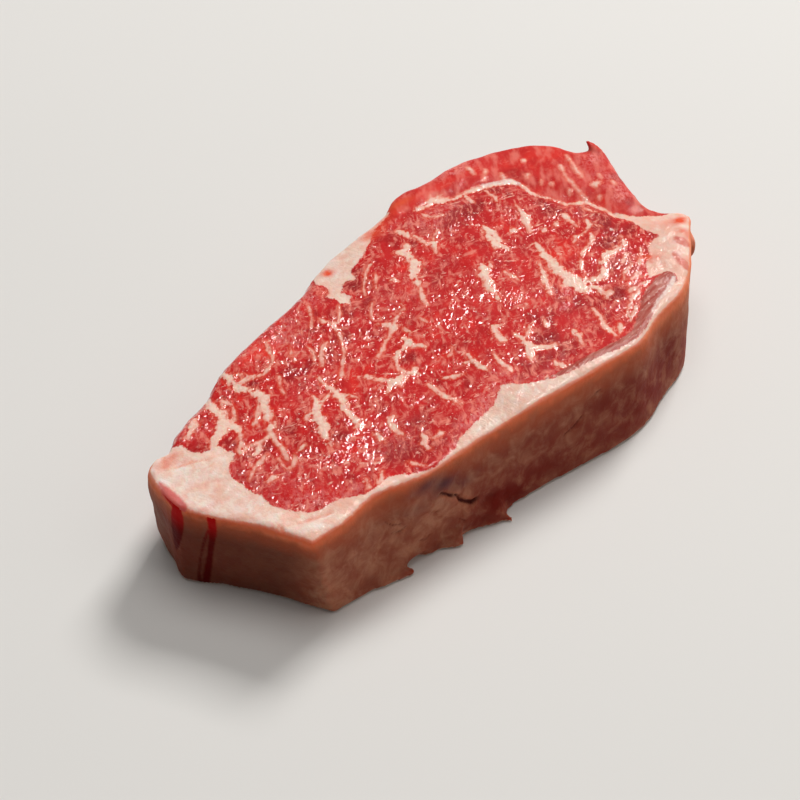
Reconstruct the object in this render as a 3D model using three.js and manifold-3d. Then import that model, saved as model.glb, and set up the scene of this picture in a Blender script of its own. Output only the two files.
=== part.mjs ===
// A raw sirloin (strip loin) steak: one closed solid, in millimetres, +Z up.
// The cut face looks up and the steak rests on its other cut face. The origin is on the resting plane under
// the middle of the bounding box, +X runs along the steak from the tail end to the chine end, and the fat
// cap faces -Y.
import * as THREE from "three";
import { mergeVertices } from "three/addons/utils/BufferGeometryUtils.js";
import Module from "manifold-3d";

// Driving dimensions: the finished solid is fitted to these three.
const LENGTH = 200;
const WIDTH = 110;
const THICKNESS = 31;

const FACE_HEIGHT = 30.2; // the middle level of the upper face, which its waves leave up and down

// How fine the solid is.
const RIM_SPACING = 3.3; // between samples round the rim
const RAGGED_SPACING = 1.8; // the same along the ragged stretch of the cap's foot
const TOP_LOOPS = 11; // from the rim to the spine
const WALL_LOOPS = 7; // between the crest's round and the foot's round
const WALL_CROWDING = 1.3; // above 1, the wall's loops lie closer together towards the foot
const ROUND_LOOPS = 3; // over each round
const TONGUE_STEPS = 9; // rings of a tongue
const TONGUE_SIDES = 10; // round each of its rings

// How round the edges are: firm fat keeps a crisp edge, and soft lean slumps to a rounder one.
const CAP_CREST_RADIUS = 1.7;
const LEAN_CREST_RADIUS = 3.2;
const CAP_FOOT_RADIUS = 1.3;
const LEAN_FOOT_RADIUS = 3.0;

// The rim of the upper face, counter-clockwise: x and y of the crest, then how far the foot of the wall is
// from under it in x and y.
const CAP_SIDE = [
  [-81.6, -48.4, 5.8, -0.9],
  [-79.2, -48.4, 5.6, -1.1],
  [-70.2, -48.0, 1.6, -1.6],
  [-59.7, -45.6, 0.0, -4.0],
  [-44.2, -48.2, 0.0, -2.2],
  [-21.2, -47.6, 0.0, -3.2],
  [3.8, -48.0, 0.0, -3.8],
  [24.8, -48.4, 0.4, -5.2],
  [37.8, -48.0, 1.0, -4.7],
  [49.8, -43.6, 1.0, -4.4],
  [65.3, -39.4, 0.6, -3.0],
  [76.8, -31.4, 0.6, -0.4],
  [86.0, -22.3, -0.4, -0.4],
];
const CHINE_END = [
  [93.1, -15.5, -5.7, 0.0],
  [90.3, -10.4, -3.2, -0.3],
  [87.0, -4.9, -0.4, 0.2],
  [90.0, 5.7, -1.4, 0.6],
  [95.4, 17.5, -3.6, 0.4],
  [99.8, 26.3, -4.8, -0.4],
  [99.0, 31.5, -4.2, 0.0],
  [93.0, 33.9, -0.4, 1.4],
  [91.6, 39.6, 0.2, 0.4],
];
const LEAN_SIDE = [
  [88.8, 44.6, 0.4, 0.4],
  [79.2, 50.6, 0.2, 0.2],
  [59.0, 53.3, 0.0, -0.4],
  [44.8, 51.7, 0.0, 0.4],
  [30.4, 51.2, 0.0, 0.4],
  [22.2, 47.0, -0.6, 2.0],
  [6.2, 43.5, -0.6, 1.4],
  [-7.8, 40.0, -0.6, 1.2],
  [-23.8, 31.8, -0.8, 2.2],
  [-40.6, 27.0, -0.6, 1.6],
  [-61.8, 19.6, -0.6, 1.2],
  [-69.8, 14.2, -0.8, 2.0],
  [-77.2, 11.6, -0.4, 1.0],
  [-85.2, 7.2, -0.4, 1.2],
];
const TAIL_END = [
  [-89.6, 3.8, 0.4, 2.4],
  [-93.2, 4.2, 1.8, 1.0],
  [-98.0, 0.8, 2.8, 0.8],
  [-99.5, -6.8, 2.4, -0.4],
  [-99.8, -14.0, 0.9, 0.4],
  [-96.4, -21.0, 3.6, 0.0],
  [-88.2, -34.2, 4.4, -0.4],
  [-82.6, -46.2, 5.4, -1.1],
];

// The line that the upper face's loops close in on, inside the rim.
const SPINE = [new THREE.Vector2(-67, -21), new THREE.Vector2(57, 1)];
const SPINE_STEPS = 27; // coarser than the rim's samples, so that both sides of the rim reach every step

// The seam of fat between the eye muscle and the small muscle of the chine corner, on the upper face.
const SEAM = [
  [22.8, 40.6],
  [40.8, 40.6],
  [58.8, 36.6],
  [65.8, 27.6],
  [68.8, 16.6],
  [75.8, 10.6],
  [77.8, -1.4],
  [86.8, -9.4],
];
const SEAM_DEPTH = 0.9;
const SEAM_REACH = 3.5;
const CHINE_DROP = 2.4; // how far the small muscle slumps at the corner of the chine end
const CHINE_DROP_FROM = 62; // along the diagonal through the origin towards that corner
const CHINE_DROP_TO = 104;

// A thin sheet of fat lies over the lower part of the cap, and its torn edge makes a step: x and z along
// the wall.
const TORN_EDGE = [
  [-46.2, 26],
  [-39.2, 21.5],
  [-34.2, 17],
  [-28.2, 10.5],
  [-21.2, 6.5],
  [-14.2, 1.5],
];
const SHEET_THICKNESS = 1.3;
const SHEET_REACH = 12;
const TEAR_DEPTH = 0.9;
const TEAR_REACH = 5;
const STEP_WIDTH = 6;

// Lobes of that sheet hang out at the foot of the cap, and the one that is drawn in is a hollow between them.
// Each swells along x from one place to the other, ends over the last stretch, and fades out at its height.
const LOBES = [
  { from: -69, to: -52.2, ending: 2.4, out: 1.9, height: 4.4 },
  { from: -52.6, to: -42.5, ending: 5.0, out: -2.2, height: 3.4 },
  { from: -41, to: -32.0, ending: 2.2, out: 2.9, height: 5.2 },
  { from: -29, to: -15.6, ending: 3.6, out: 2.3, height: 8.0 },
];

// Balls fused to the body, each by its centre, its half sizes, and its turn about Z in degrees: a knob of fat
// at the chine end's near corner and the swelling below it.
const KNOBS = [
  { at: [90.9, -13.0, 26.9], half: [3.6, 2.8, 2.4], turn: -40 },
  { at: [86.3, -19.3, 23.2], half: [4.4, 4.4, 5.6], turn: 0 },
];

// Tongues fused to the body, each tapering along a line of [x, y, z, half thickness], and wider than thick:
// two shreds of fat at the foot of the cap, and the curled, pointed flap of lean at the far corner.
const TONGUES = [
  {
    width: 1.3,
    line: [
      [-61.0, -49.6, 1.2, 1.1],
      [-56.5, -50.4, 1.1, 1.0],
      [-52.6, -51.4, 1.0, 0.9],
      [-50.8, -51.8, 0.9, 0.8],
    ],
  },
  {
    width: 1.2,
    line: [
      [-21.0, -50.4, 1.5, 1.3],
      [-19.2, -53.0, 1.3, 0.8],
      [-17.8, -54.6, 0.8, 0.7],
      [-17.4, -55.4, 0.6, 0.4],
    ],
  },
  {
    width: 1.5,
    line: [
      [97.4, 25.4, 25.4, 1.5],
      [97.8, 28.4, 27.2, 1.4],
      [97.0, 30.9, 28.9, 1.1],
      [96.0, 33.0, 30.8, 0.3],
    ],
  },
];

const smoothstep = (a, b, v) => {
  const t = THREE.MathUtils.clamp((v - a) / (b - a), 0, 1);
  return t * t * (3 - 2 * t);
};

// How far a point is from a path of points, and on which side of it: positive to the left of its direction.
function offsetFromPath(path, u, v) {
  let nearest = { distance: Infinity, side: 1 };
  for (let i = 0; i + 1 < path.length; i++) {
    const [au, av] = path[i];
    const du = path[i + 1][0] - au;
    const dv = path[i + 1][1] - av;
    const t = THREE.MathUtils.clamp(((u - au) * du + (v - av) * dv) / (du * du + dv * dv), 0, 1);
    const distance = Math.hypot(u - au - t * du, v - av - t * dv);
    if (distance < nearest.distance) {
      nearest = { distance, side: Math.sign(du * (v - av) - dv * (u - au)) || 1 };
    }
  }
  return nearest;
}

// 0 where the wall is the fat cap, 1 where it is lean.
function leanShare(y) {
  return smoothstep(-13, 15, y);
}

// The height of the upper face above its middle level: slow waves of the knife, the seam's furrow and the
// slump at the chine end's corner.
function relief(x, y) {
  const waves =
    0.55 * Math.sin(x / 13.5 + y / 21) * Math.cos(y / 11.5 - x / 47) +
    0.3 * Math.sin(x / 6.1 - y / 7.7 + 1.3) * Math.cos(y / 8.9 + x / 15);
  const furrow = SEAM_DEPTH * Math.exp(-((offsetFromPath(SEAM, x, y).distance / SEAM_REACH) ** 2));
  const slump = CHINE_DROP * smoothstep(CHINE_DROP_FROM, CHINE_DROP_TO, x * 0.86 + y * 0.5);
  return waves - furrow - slump;
}

// How far the wall stands out beyond the straight line from crest to foot, at x, y and height z.
function wallRelief(x, y, z) {
  const middle = Math.sin(Math.PI * THREE.MathUtils.clamp(z / FACE_HEIGHT, 0, 1));
  const lumps = Math.sin(x / 7.3 + z / 9) * Math.sin(y / 8.1 - z / 5.5 + 0.7);
  const lean = leanShare(y);
  const swell = THREE.MathUtils.lerp(0.1, 1.6, lean) + lumps * THREE.MathUtils.lerp(0.3, 0.9, lean);
  return middle * swell + (y < -41 ? tornSheet(x, z) + lobes(x, z) : 0);
}

// The sheet of fat below the torn edge, and the shallow hollow right above it.
function tornSheet(x, z) {
  const { distance, side } = offsetFromPath(TORN_EDGE, x, z);
  const above = smoothstep(-STEP_WIDTH / 2, STEP_WIDTH / 2, distance * side);
  const sheet = SHEET_THICKNESS * (1 - smoothstep(0, SHEET_REACH, distance));
  const hollow = TEAR_DEPTH * (1 - smoothstep(0, TEAR_REACH, distance));
  return THREE.MathUtils.lerp(sheet, -hollow, above);
}

// How far the lobes stand out at a place along the cap's foot.
function lobes(x, z) {
  return LOBES.reduce((sum, { from, to, ending, out, height }) => {
    const along = smoothstep(from, to - ending, x) * (1 - smoothstep(to - ending, to, x));
    return sum + out * along * (1 - smoothstep(0.4 * height, height, z));
  }, 0);
}

// The level direction away from the steak at a share of a counter-clockwise line.
function outwards(line, t) {
  const along = line.getTangent(t);
  return new THREE.Vector3(along.y, -along.x, 0);
}

// Samples of the rim: the crest and the foot of the wall there, and the way out of the steak at both.
function rimSamples() {
  const stations = [...CAP_SIDE, ...CHINE_END, ...LEAN_SIDE, ...TAIL_END];
  const closed = (points) => new THREE.CatmullRomCurve3(points, true, "centripetal");
  const crestLine = closed(stations.map(([x, y]) => new THREE.Vector3(x, y, 0)));
  const footLine = closed(stations.map(([x, y, dx, dy]) => new THREE.Vector3(x + dx, y + dy, 0)));
  const samples = [];
  stations.forEach(([x, y], i) => {
    const [nextX, nextY] = stations[(i + 1) % stations.length];
    const spacing = y < -41 && x > -70 && x < -10 ? RAGGED_SPACING : RIM_SPACING;
    const steps = Math.max(2, Math.round(Math.hypot(nextX - x, nextY - y) / spacing));
    for (let step = 0; step < steps; step++) {
      const t = (i + step / steps) / stations.length;
      samples.push({
        crest: crestLine.getPoint(t),
        foot: footLine.getPoint(t),
        crestOut: outwards(crestLine, t),
        footOut: outwards(footLine, t),
      });
    }
  });
  return samples;
}

// The step of the spine that a rim sample's ray runs to.
function spinePoint(crest) {
  const t = THREE.MathUtils.clamp((crest.x - SPINE[0].x) / (SPINE[1].x - SPINE[0].x), 0, 1);
  return new THREE.Vector2().lerpVectors(SPINE[0], SPINE[1], Math.round(t * SPINE_STEPS) / SPINE_STEPS);
}

const crestRadius = ({ crest }) =>
  THREE.MathUtils.lerp(CAP_CREST_RADIUS, LEAN_CREST_RADIUS, leanShare(crest.y));
const footRadius = ({ foot }) =>
  THREE.MathUtils.lerp(CAP_FOOT_RADIUS, LEAN_FOOT_RADIUS, leanShare(foot.y));

// A point of the wall between foot and crest, at a height. inset pulls it in from the wall's own surface.
function wallPoint({ crest, foot, crestOut, footOut }, z, inset) {
  const share = z / FACE_HEIGHT;
  const p = new THREE.Vector3().lerpVectors(foot, crest, share);
  const out = new THREE.Vector3().lerpVectors(footOut, crestOut, share).normalize();
  return p.addScaledVector(out, wallRelief(p.x, p.y, z) - inset).setZ(z);
}

// A point of the upper face: share 0 is where the crest's round begins, and 1 is on the spine.
function topPoint(sample, share) {
  const radius = crestRadius(sample);
  const edge = sample.crest.clone().addScaledVector(sample.crestOut, -radius);
  const { x, y } = spinePoint(sample.crest);
  const p = new THREE.Vector3().lerpVectors(edge, new THREE.Vector3(x, y, 0), share);
  return p.setZ(FACE_HEIGHT + relief(p.x, p.y));
}

// A point of the round between the upper face (turn 0) and the wall (turn 1).
function crestPoint(sample, turn) {
  const radius = crestRadius(sample);
  const angle = (turn * Math.PI) / 2;
  const inset = radius * (1 - Math.sin(angle));
  const p = sample.crest.clone().addScaledVector(sample.crestOut, -inset);
  return p.setZ(FACE_HEIGHT + relief(p.x, p.y) - radius * (1 - Math.cos(angle)));
}

// A point of the round between the resting face (turn 0) and the wall (turn 1).
function footPoint(sample, turn) {
  const radius = footRadius(sample);
  const angle = (turn * Math.PI) / 2;
  return wallPoint(sample, radius * (1 - Math.cos(angle)), radius * (1 - Math.sin(angle)));
}

// All loops of the body, from the edge of the resting face, up the wall, over the crest and in to the
// spine.
function bodyLoops(samples) {
  const loops = [];
  for (let i = 0; i <= ROUND_LOOPS; i++) {
    loops.push(samples.map((s) => footPoint(s, i / ROUND_LOOPS)));
  }
  for (let i = 1; i <= WALL_LOOPS; i++) {
    loops.push(
      samples.map((s) => {
        const share = (i / (WALL_LOOPS + 1)) ** WALL_CROWDING;
        return wallPoint(s, THREE.MathUtils.lerp(footRadius(s), crestPoint(s, 1).z, share), 0);
      }),
    );
  }
  for (let i = ROUND_LOOPS; i > 0; i--) {
    loops.push(samples.map((s) => crestPoint(s, i / ROUND_LOOPS)));
  }
  for (let i = 0; i <= TOP_LOOPS; i++) {
    loops.push(samples.map((s) => topPoint(s, i / TOP_LOOPS)));
  }
  return loops;
}

// A geometry through a stack of loops of equal length, with its first loop filled. It closes where the last
// loop's points fall together on the spine.
function skin(loops) {
  const count = loops[0].length;
  const positions = loops.flat().flatMap((p) => [p.x, p.y, p.z]);
  const index = [];
  for (let k = 0; k + 1 < loops.length; k++) {
    for (let i = 0; i < count; i++) {
      const a = k * count + i;
      const b = k * count + ((i + 1) % count);
      index.push(a, b, b + count, a, b + count, a + count);
    }
  }
  const contour = loops[0].map((p) => new THREE.Vector2(p.x, p.y));
  for (const [a, b, c] of THREE.ShapeUtils.triangulateShape(contour, [])) {
    index.push(a, c, b);
  }
  return new THREE.BufferGeometry()
    .setAttribute("position", new THREE.Float32BufferAttribute(positions, 3))
    .setIndex(index);
}

// A ball stretched to its half sizes, turned about Z and set in place.
function knobGeometry({ at, half, turn }) {
  return new THREE.SphereGeometry(1, 14, 9)
    .scale(...half)
    .rotateZ(THREE.MathUtils.degToRad(turn))
    .translate(...at);
}

// A tongue: rings round a curve through its line, level across and upright in height, closed by a point at
// both ends. Its width is this many times its thickness.
function tongueGeometry({ width, line }) {
  const route = new THREE.CatmullRomCurve3(line.map(([x, y, z]) => new THREE.Vector3(x, y, z)));
  const last = line.length - 1;
  const positions = [];
  const index = [];
  for (let step = 0; step <= TONGUE_STEPS; step++) {
    const t = step / TONGUE_STEPS;
    const piece = Math.min(Math.floor(t * last), last - 1);
    const half = THREE.MathUtils.lerp(line[piece][3], line[piece + 1][3], t * last - piece);
    const centre = route.getPoint(t);
    const along = route.getTangent(t);
    const across = new THREE.Vector3(along.y, -along.x, 0).normalize();
    const above = new THREE.Vector3().crossVectors(across, along);
    for (let side = 0; side < TONGUE_SIDES; side++) {
      const angle = (side / TONGUE_SIDES) * 2 * Math.PI;
      const p = centre
        .clone()
        .addScaledVector(across, width * half * Math.cos(angle))
        .addScaledVector(above, half * Math.sin(angle));
      positions.push(...p.toArray());
    }
  }
  const rings = TONGUE_STEPS + 1;
  for (let ring = 0; ring + 1 < rings; ring++) {
    for (let side = 0; side < TONGUE_SIDES; side++) {
      const a = ring * TONGUE_SIDES + side;
      const b = ring * TONGUE_SIDES + ((side + 1) % TONGUE_SIDES);
      index.push(a, b + TONGUE_SIDES, b, a, a + TONGUE_SIDES, b + TONGUE_SIDES);
    }
  }
  const tips = [0, 1].map((t) => {
    positions.push(...route.getPoint(t).toArray());
    return rings * TONGUE_SIDES + t;
  });
  for (let side = 0; side < TONGUE_SIDES; side++) {
    const next = (side + 1) % TONGUE_SIDES;
    const end = (rings - 1) * TONGUE_SIDES;
    index.push(tips[0], side, next, tips[1], end + next, end + side);
  }
  return new THREE.BufferGeometry()
    .setAttribute("position", new THREE.Float32BufferAttribute(positions, 3))
    .setIndex(index);
}

const wasm = await Module();
wasm.setup();

// A geometry as a manifold-3d solid: only positions are kept, equal ones are merged, and the triangles that
// merging leaves with no area are dropped.
function solidOf(geometry) {
  const bare = new THREE.BufferGeometry()
    .setAttribute("position", geometry.getAttribute("position"))
    .setIndex(geometry.index);
  const merged = mergeVertices(bare, 1e-3);
  const corners = merged.index.array;
  const triVerts = [];
  for (let i = 0; i < corners.length; i += 3) {
    const [a, b, c] = corners.slice(i, i + 3);
    if (a !== b && b !== c && c !== a) {
      triVerts.push(a, b, c);
    }
  }
  return new wasm.Manifold(
    new wasm.Mesh({
      numProp: 3,
      vertProperties: merged.attributes.position.array,
      triVerts: new Uint32Array(triVerts),
    }),
  );
}

// The body, knobs and tongues joined, as a geometry fitted to the driving dimensions.
function steakGeometry() {
  let solid = solidOf(skin(bodyLoops(rimSamples())));
  for (const extra of [...KNOBS.map(knobGeometry), ...TONGUES.map(tongueGeometry)]) {
    solid = solid.add(solidOf(extra));
  }
  const { vertProperties, triVerts } = solid.getMesh();
  const geometry = new THREE.BufferGeometry()
    .setAttribute("position", new THREE.BufferAttribute(vertProperties, 3))
    .setIndex(new THREE.BufferAttribute(triVerts, 1));
  geometry.computeBoundingBox();
  const size = geometry.boundingBox.getSize(new THREE.Vector3());
  const middle = geometry.boundingBox.getCenter(new THREE.Vector3());
  geometry.translate(-middle.x, -middle.y, -geometry.boundingBox.min.z);
  geometry.scale(LENGTH / size.x, WIDTH / size.y, THICKNESS / size.z);
  geometry.computeVertexNormals();
  return geometry;
}

const rawBeef = new THREE.MeshStandardMaterial({ color: 0xb5413d, roughness: 0.35, metalness: 0 });
const steak = new THREE.Mesh(steakGeometry(), rawBeef);
steak.name = "steak";

const part = new THREE.Group();
part.add(steak);

export default part;
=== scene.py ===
from math import cos, radians, sin

import bmesh
import bpy
import numpy as np
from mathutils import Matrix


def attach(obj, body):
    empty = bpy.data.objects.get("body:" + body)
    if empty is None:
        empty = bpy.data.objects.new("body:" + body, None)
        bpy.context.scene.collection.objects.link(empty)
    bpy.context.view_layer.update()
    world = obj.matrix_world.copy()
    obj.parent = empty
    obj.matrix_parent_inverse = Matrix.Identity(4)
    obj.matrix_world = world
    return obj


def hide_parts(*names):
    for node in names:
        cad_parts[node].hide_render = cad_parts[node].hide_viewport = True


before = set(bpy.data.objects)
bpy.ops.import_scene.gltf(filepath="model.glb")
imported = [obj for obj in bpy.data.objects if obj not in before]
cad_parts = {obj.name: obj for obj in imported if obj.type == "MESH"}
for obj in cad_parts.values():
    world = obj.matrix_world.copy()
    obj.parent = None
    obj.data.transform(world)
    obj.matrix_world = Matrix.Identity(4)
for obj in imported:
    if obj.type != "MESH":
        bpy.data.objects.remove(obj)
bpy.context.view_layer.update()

# A raw sirloin steak. Lengths are millimetres in the frame's own axes unless a name ends in _M (metres).

MM = 0.001
SEED = 41

# ---------------------------------------------------------------- the mesh
VOXEL = 0.74            # spacing of the fine skin
FACET_SMOOTHING = 9     # rounds that melt the solid's flat facets
SMOOTH_IN, SMOOTH_OUT = 0.50, -0.52
NORMAL_ROUNDS = 4       # rounds that even out the directions of the relief
FACE_HEIGHT = 30.2      # of the upper cut face
FIBRE_TURN = 52.0       # direction of the lean's fibre ends on the cut faces, degrees from x
CROSS_TURN = -64.0      # from there to the direction of the finer marbling
CAP_LINE = (-90.0, 3.0, -0.0618)    # the fat cap lies on the near side of this line: x, y and slope
BRUISE_FROM_X = -62
FAR, THIN_FAR = 9.0, 6.0            # distances that mean out of reach, for broad marks and for thin lines
HASH_PRIMES = (73856093, 19349663, 83492791)

# Relief on the upper face and on the cap's wall.
FLECK_RISE = 0.14
GRISTLE_RISE = 0.10
CREASE_DEPTH = 0.12
FOLD_DEPTH = 0.35
FAT_EDGE_DEPTH = 0.06
SEAM_DEPTH = 0.30
FISSURE_DEPTH = 1.35
CRACK_DEPTH = 0.45

# ---------------------------------------------------------------- the cut face's layout
# Runs that two outlines share: the lean's edge beside the silverskin, and the notch at the chine end with
# the way round outside it.
BY_SILVERSKIN = [
    (30, -45.6), (36, -45.9), (40, -45.3), (44, -44), (48, -42), (51, -40.5), (54, -39), (58, -37.8),
    (62, -36.5), (66, -35.3), (67.5, -33.5), (67.8, -31.5),
]
CHINE_NOTCH = [(78.4, -2.4), (80.5, -5), (83.5, -7.3), (86.2, -9.8), (96, -12), (115, 0), (115, 70)]
# Edge of the lean against the fat cap, from the tail's far side along the cap to the chine end, and round
# outside.
LEAN = [
    (-87.5, 4.5), (-85.3, 2.4), (-85, 0), (-84.6, -2), (-82, -4), (-79.6, -3.4), (-78.3, -4.6), (-77.8, -7),
    (-76.6, -9.2), (-78.6, -10.4), (-80.5, -11.6), (-82.3, -14), (-82.7, -16.5), (-82.1, -20), (-82, -23),
    (-80.8, -26), (-81.3, -29), (-81, -31.5), (-79.5, -34.5), (-77.5, -37), (-75.5, -39), (-73.5, -40),
    (-70, -39.9), (-66, -40.3), (-62.5, -42.4), (-60, -43.7), (-57.5, -43.2), (-55, -43), (-52, -42.4),
    (-49, -43.4), (-47, -45), (-45, -45.8), (-42, -46.8), (-39, -47), (-36, -46.2), (-33, -45.8),
    (-30.5, -45.2), (-29, -44), (-26, -43), (-22, -41.9), (-18, -41.1), (-14, -40.2), (-11, -39.4),
    (-8.5, -37.6), (-6.5, -36.4), (-5, -35.8), (-3, -37), (-1, -38.7), (1, -40), (4, -41.4), (8, -42.9),
    (12, -43.8), (16, -44.2), (20, -44.4), (25, -44.8), *BY_SILVERSKIN, (66.8, -29.9), (63.5, -29.7),
    (61, -29.3), (62, -27.6), (63.3, -25.3), (64.5, -23.6), (67.3, -23.2), (69, -21.3), (70, -19.6),
    (72, -18.3), (74.2, -17.6), (76, -18), (77.2, -16.8), (76.5, -14.5), (76, -12), (76.6, -9.5),
    (76.8, -6.5), (76, -3.5), (75.3, -1.6), (75.4, 0.2), (77.5, 0.8), *CHINE_NOTCH, (-30, 70), (-110, 40),
    (-110, 14),
]
# Band of fat along the far side, with the island that hangs from it.
FAR_FAT = [
    (-15, 33.5), (-14.5, 32.5), (-13.5, 31), (-13.8, 28.5), (-14.8, 27.2), (-16.5, 26.5), (-16.3, 25),
    (-15.2, 23), (-15.5, 21), (-14.2, 20.2), (-13.6, 18.8), (-12.5, 20.8), (-11, 21.5), (-11.5, 23),
    (-12.2, 24.8), (-10.5, 26), (-9.5, 27.5), (-8, 28.4), (-6, 28), (-5, 26.8), (-4.2, 27.5), (-4, 30),
    (-3, 31.5), (-1.5, 32.2), (1, 32.8), (3, 34), (5, 35), (7, 36.5), (10, 38.2), (12.5, 40.2), (16, 42.3),
    (20, 43.8), (24, 45.5), (26, 52), (0, 56), (-30, 46), (-12.5, 37),
]
# Silverskin: a strip beside the cap that widens to an oval of gristle.
GRISTLE = [
    (4, -41.2), (8, -41.8), (18, -42.1), (28, -42.7), (35, -43), (40, -42.3), (43, -40.4), (46, -38.5),
    (49, -36.8), (51, -34.7), (55, -32.7), (60, -31), (64, -30.1), (67, -29.9), *reversed(BY_SILVERSKIN),
    (24, -44.8), (16, -44.2), (10, -43.3),
]
# Fat seam round the small muscle of the chine end: x, y, width.
SEAM = [
    (31.5, 40.8, 1.6), (35.5, 40.2, 1.2), (37.5, 41, 2), (40, 41, 2.6), (42.3, 38.6, 2.2), (44.5, 38, 1.5),
    (47, 38.3, 1.6), (50, 38, 1.6), (53, 37.3, 1.8), (56, 36.5, 1.3), (59, 35.6, 1.2), (61.5, 34.8, 1.5),
    (64, 34, 2.2), (65.3, 31.5, 1.4), (65.3, 28, 1.4), (64.8, 24.5, 1.5), (65.5, 22, 1.4), (67.3, 20, 1.1),
    (68.3, 17, 0.9), (69.5, 14, 0.9), (72, 12.5, 1.2), (74.5, 10.8, 1.8), (75.2, 8, 1.3), (75.6, 4, 1.2),
    (75.6, 0, 1.6),
]
# Outer side of that seam: the small muscle's zone.
SMALL_MUSCLE = [
    (24, 43), (31.5, 41.6), (37.5, 41.6), (42, 39), (50, 38.4), (56, 37), (62, 35.6), (65.8, 31.5),
    (65.8, 27.5), (65.6, 23), (68, 20), (69.5, 14.6), (75.2, 11.2), (76.2, 4), (76.5, 0), *CHINE_NOTCH,
    (20, 70),
]
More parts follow.
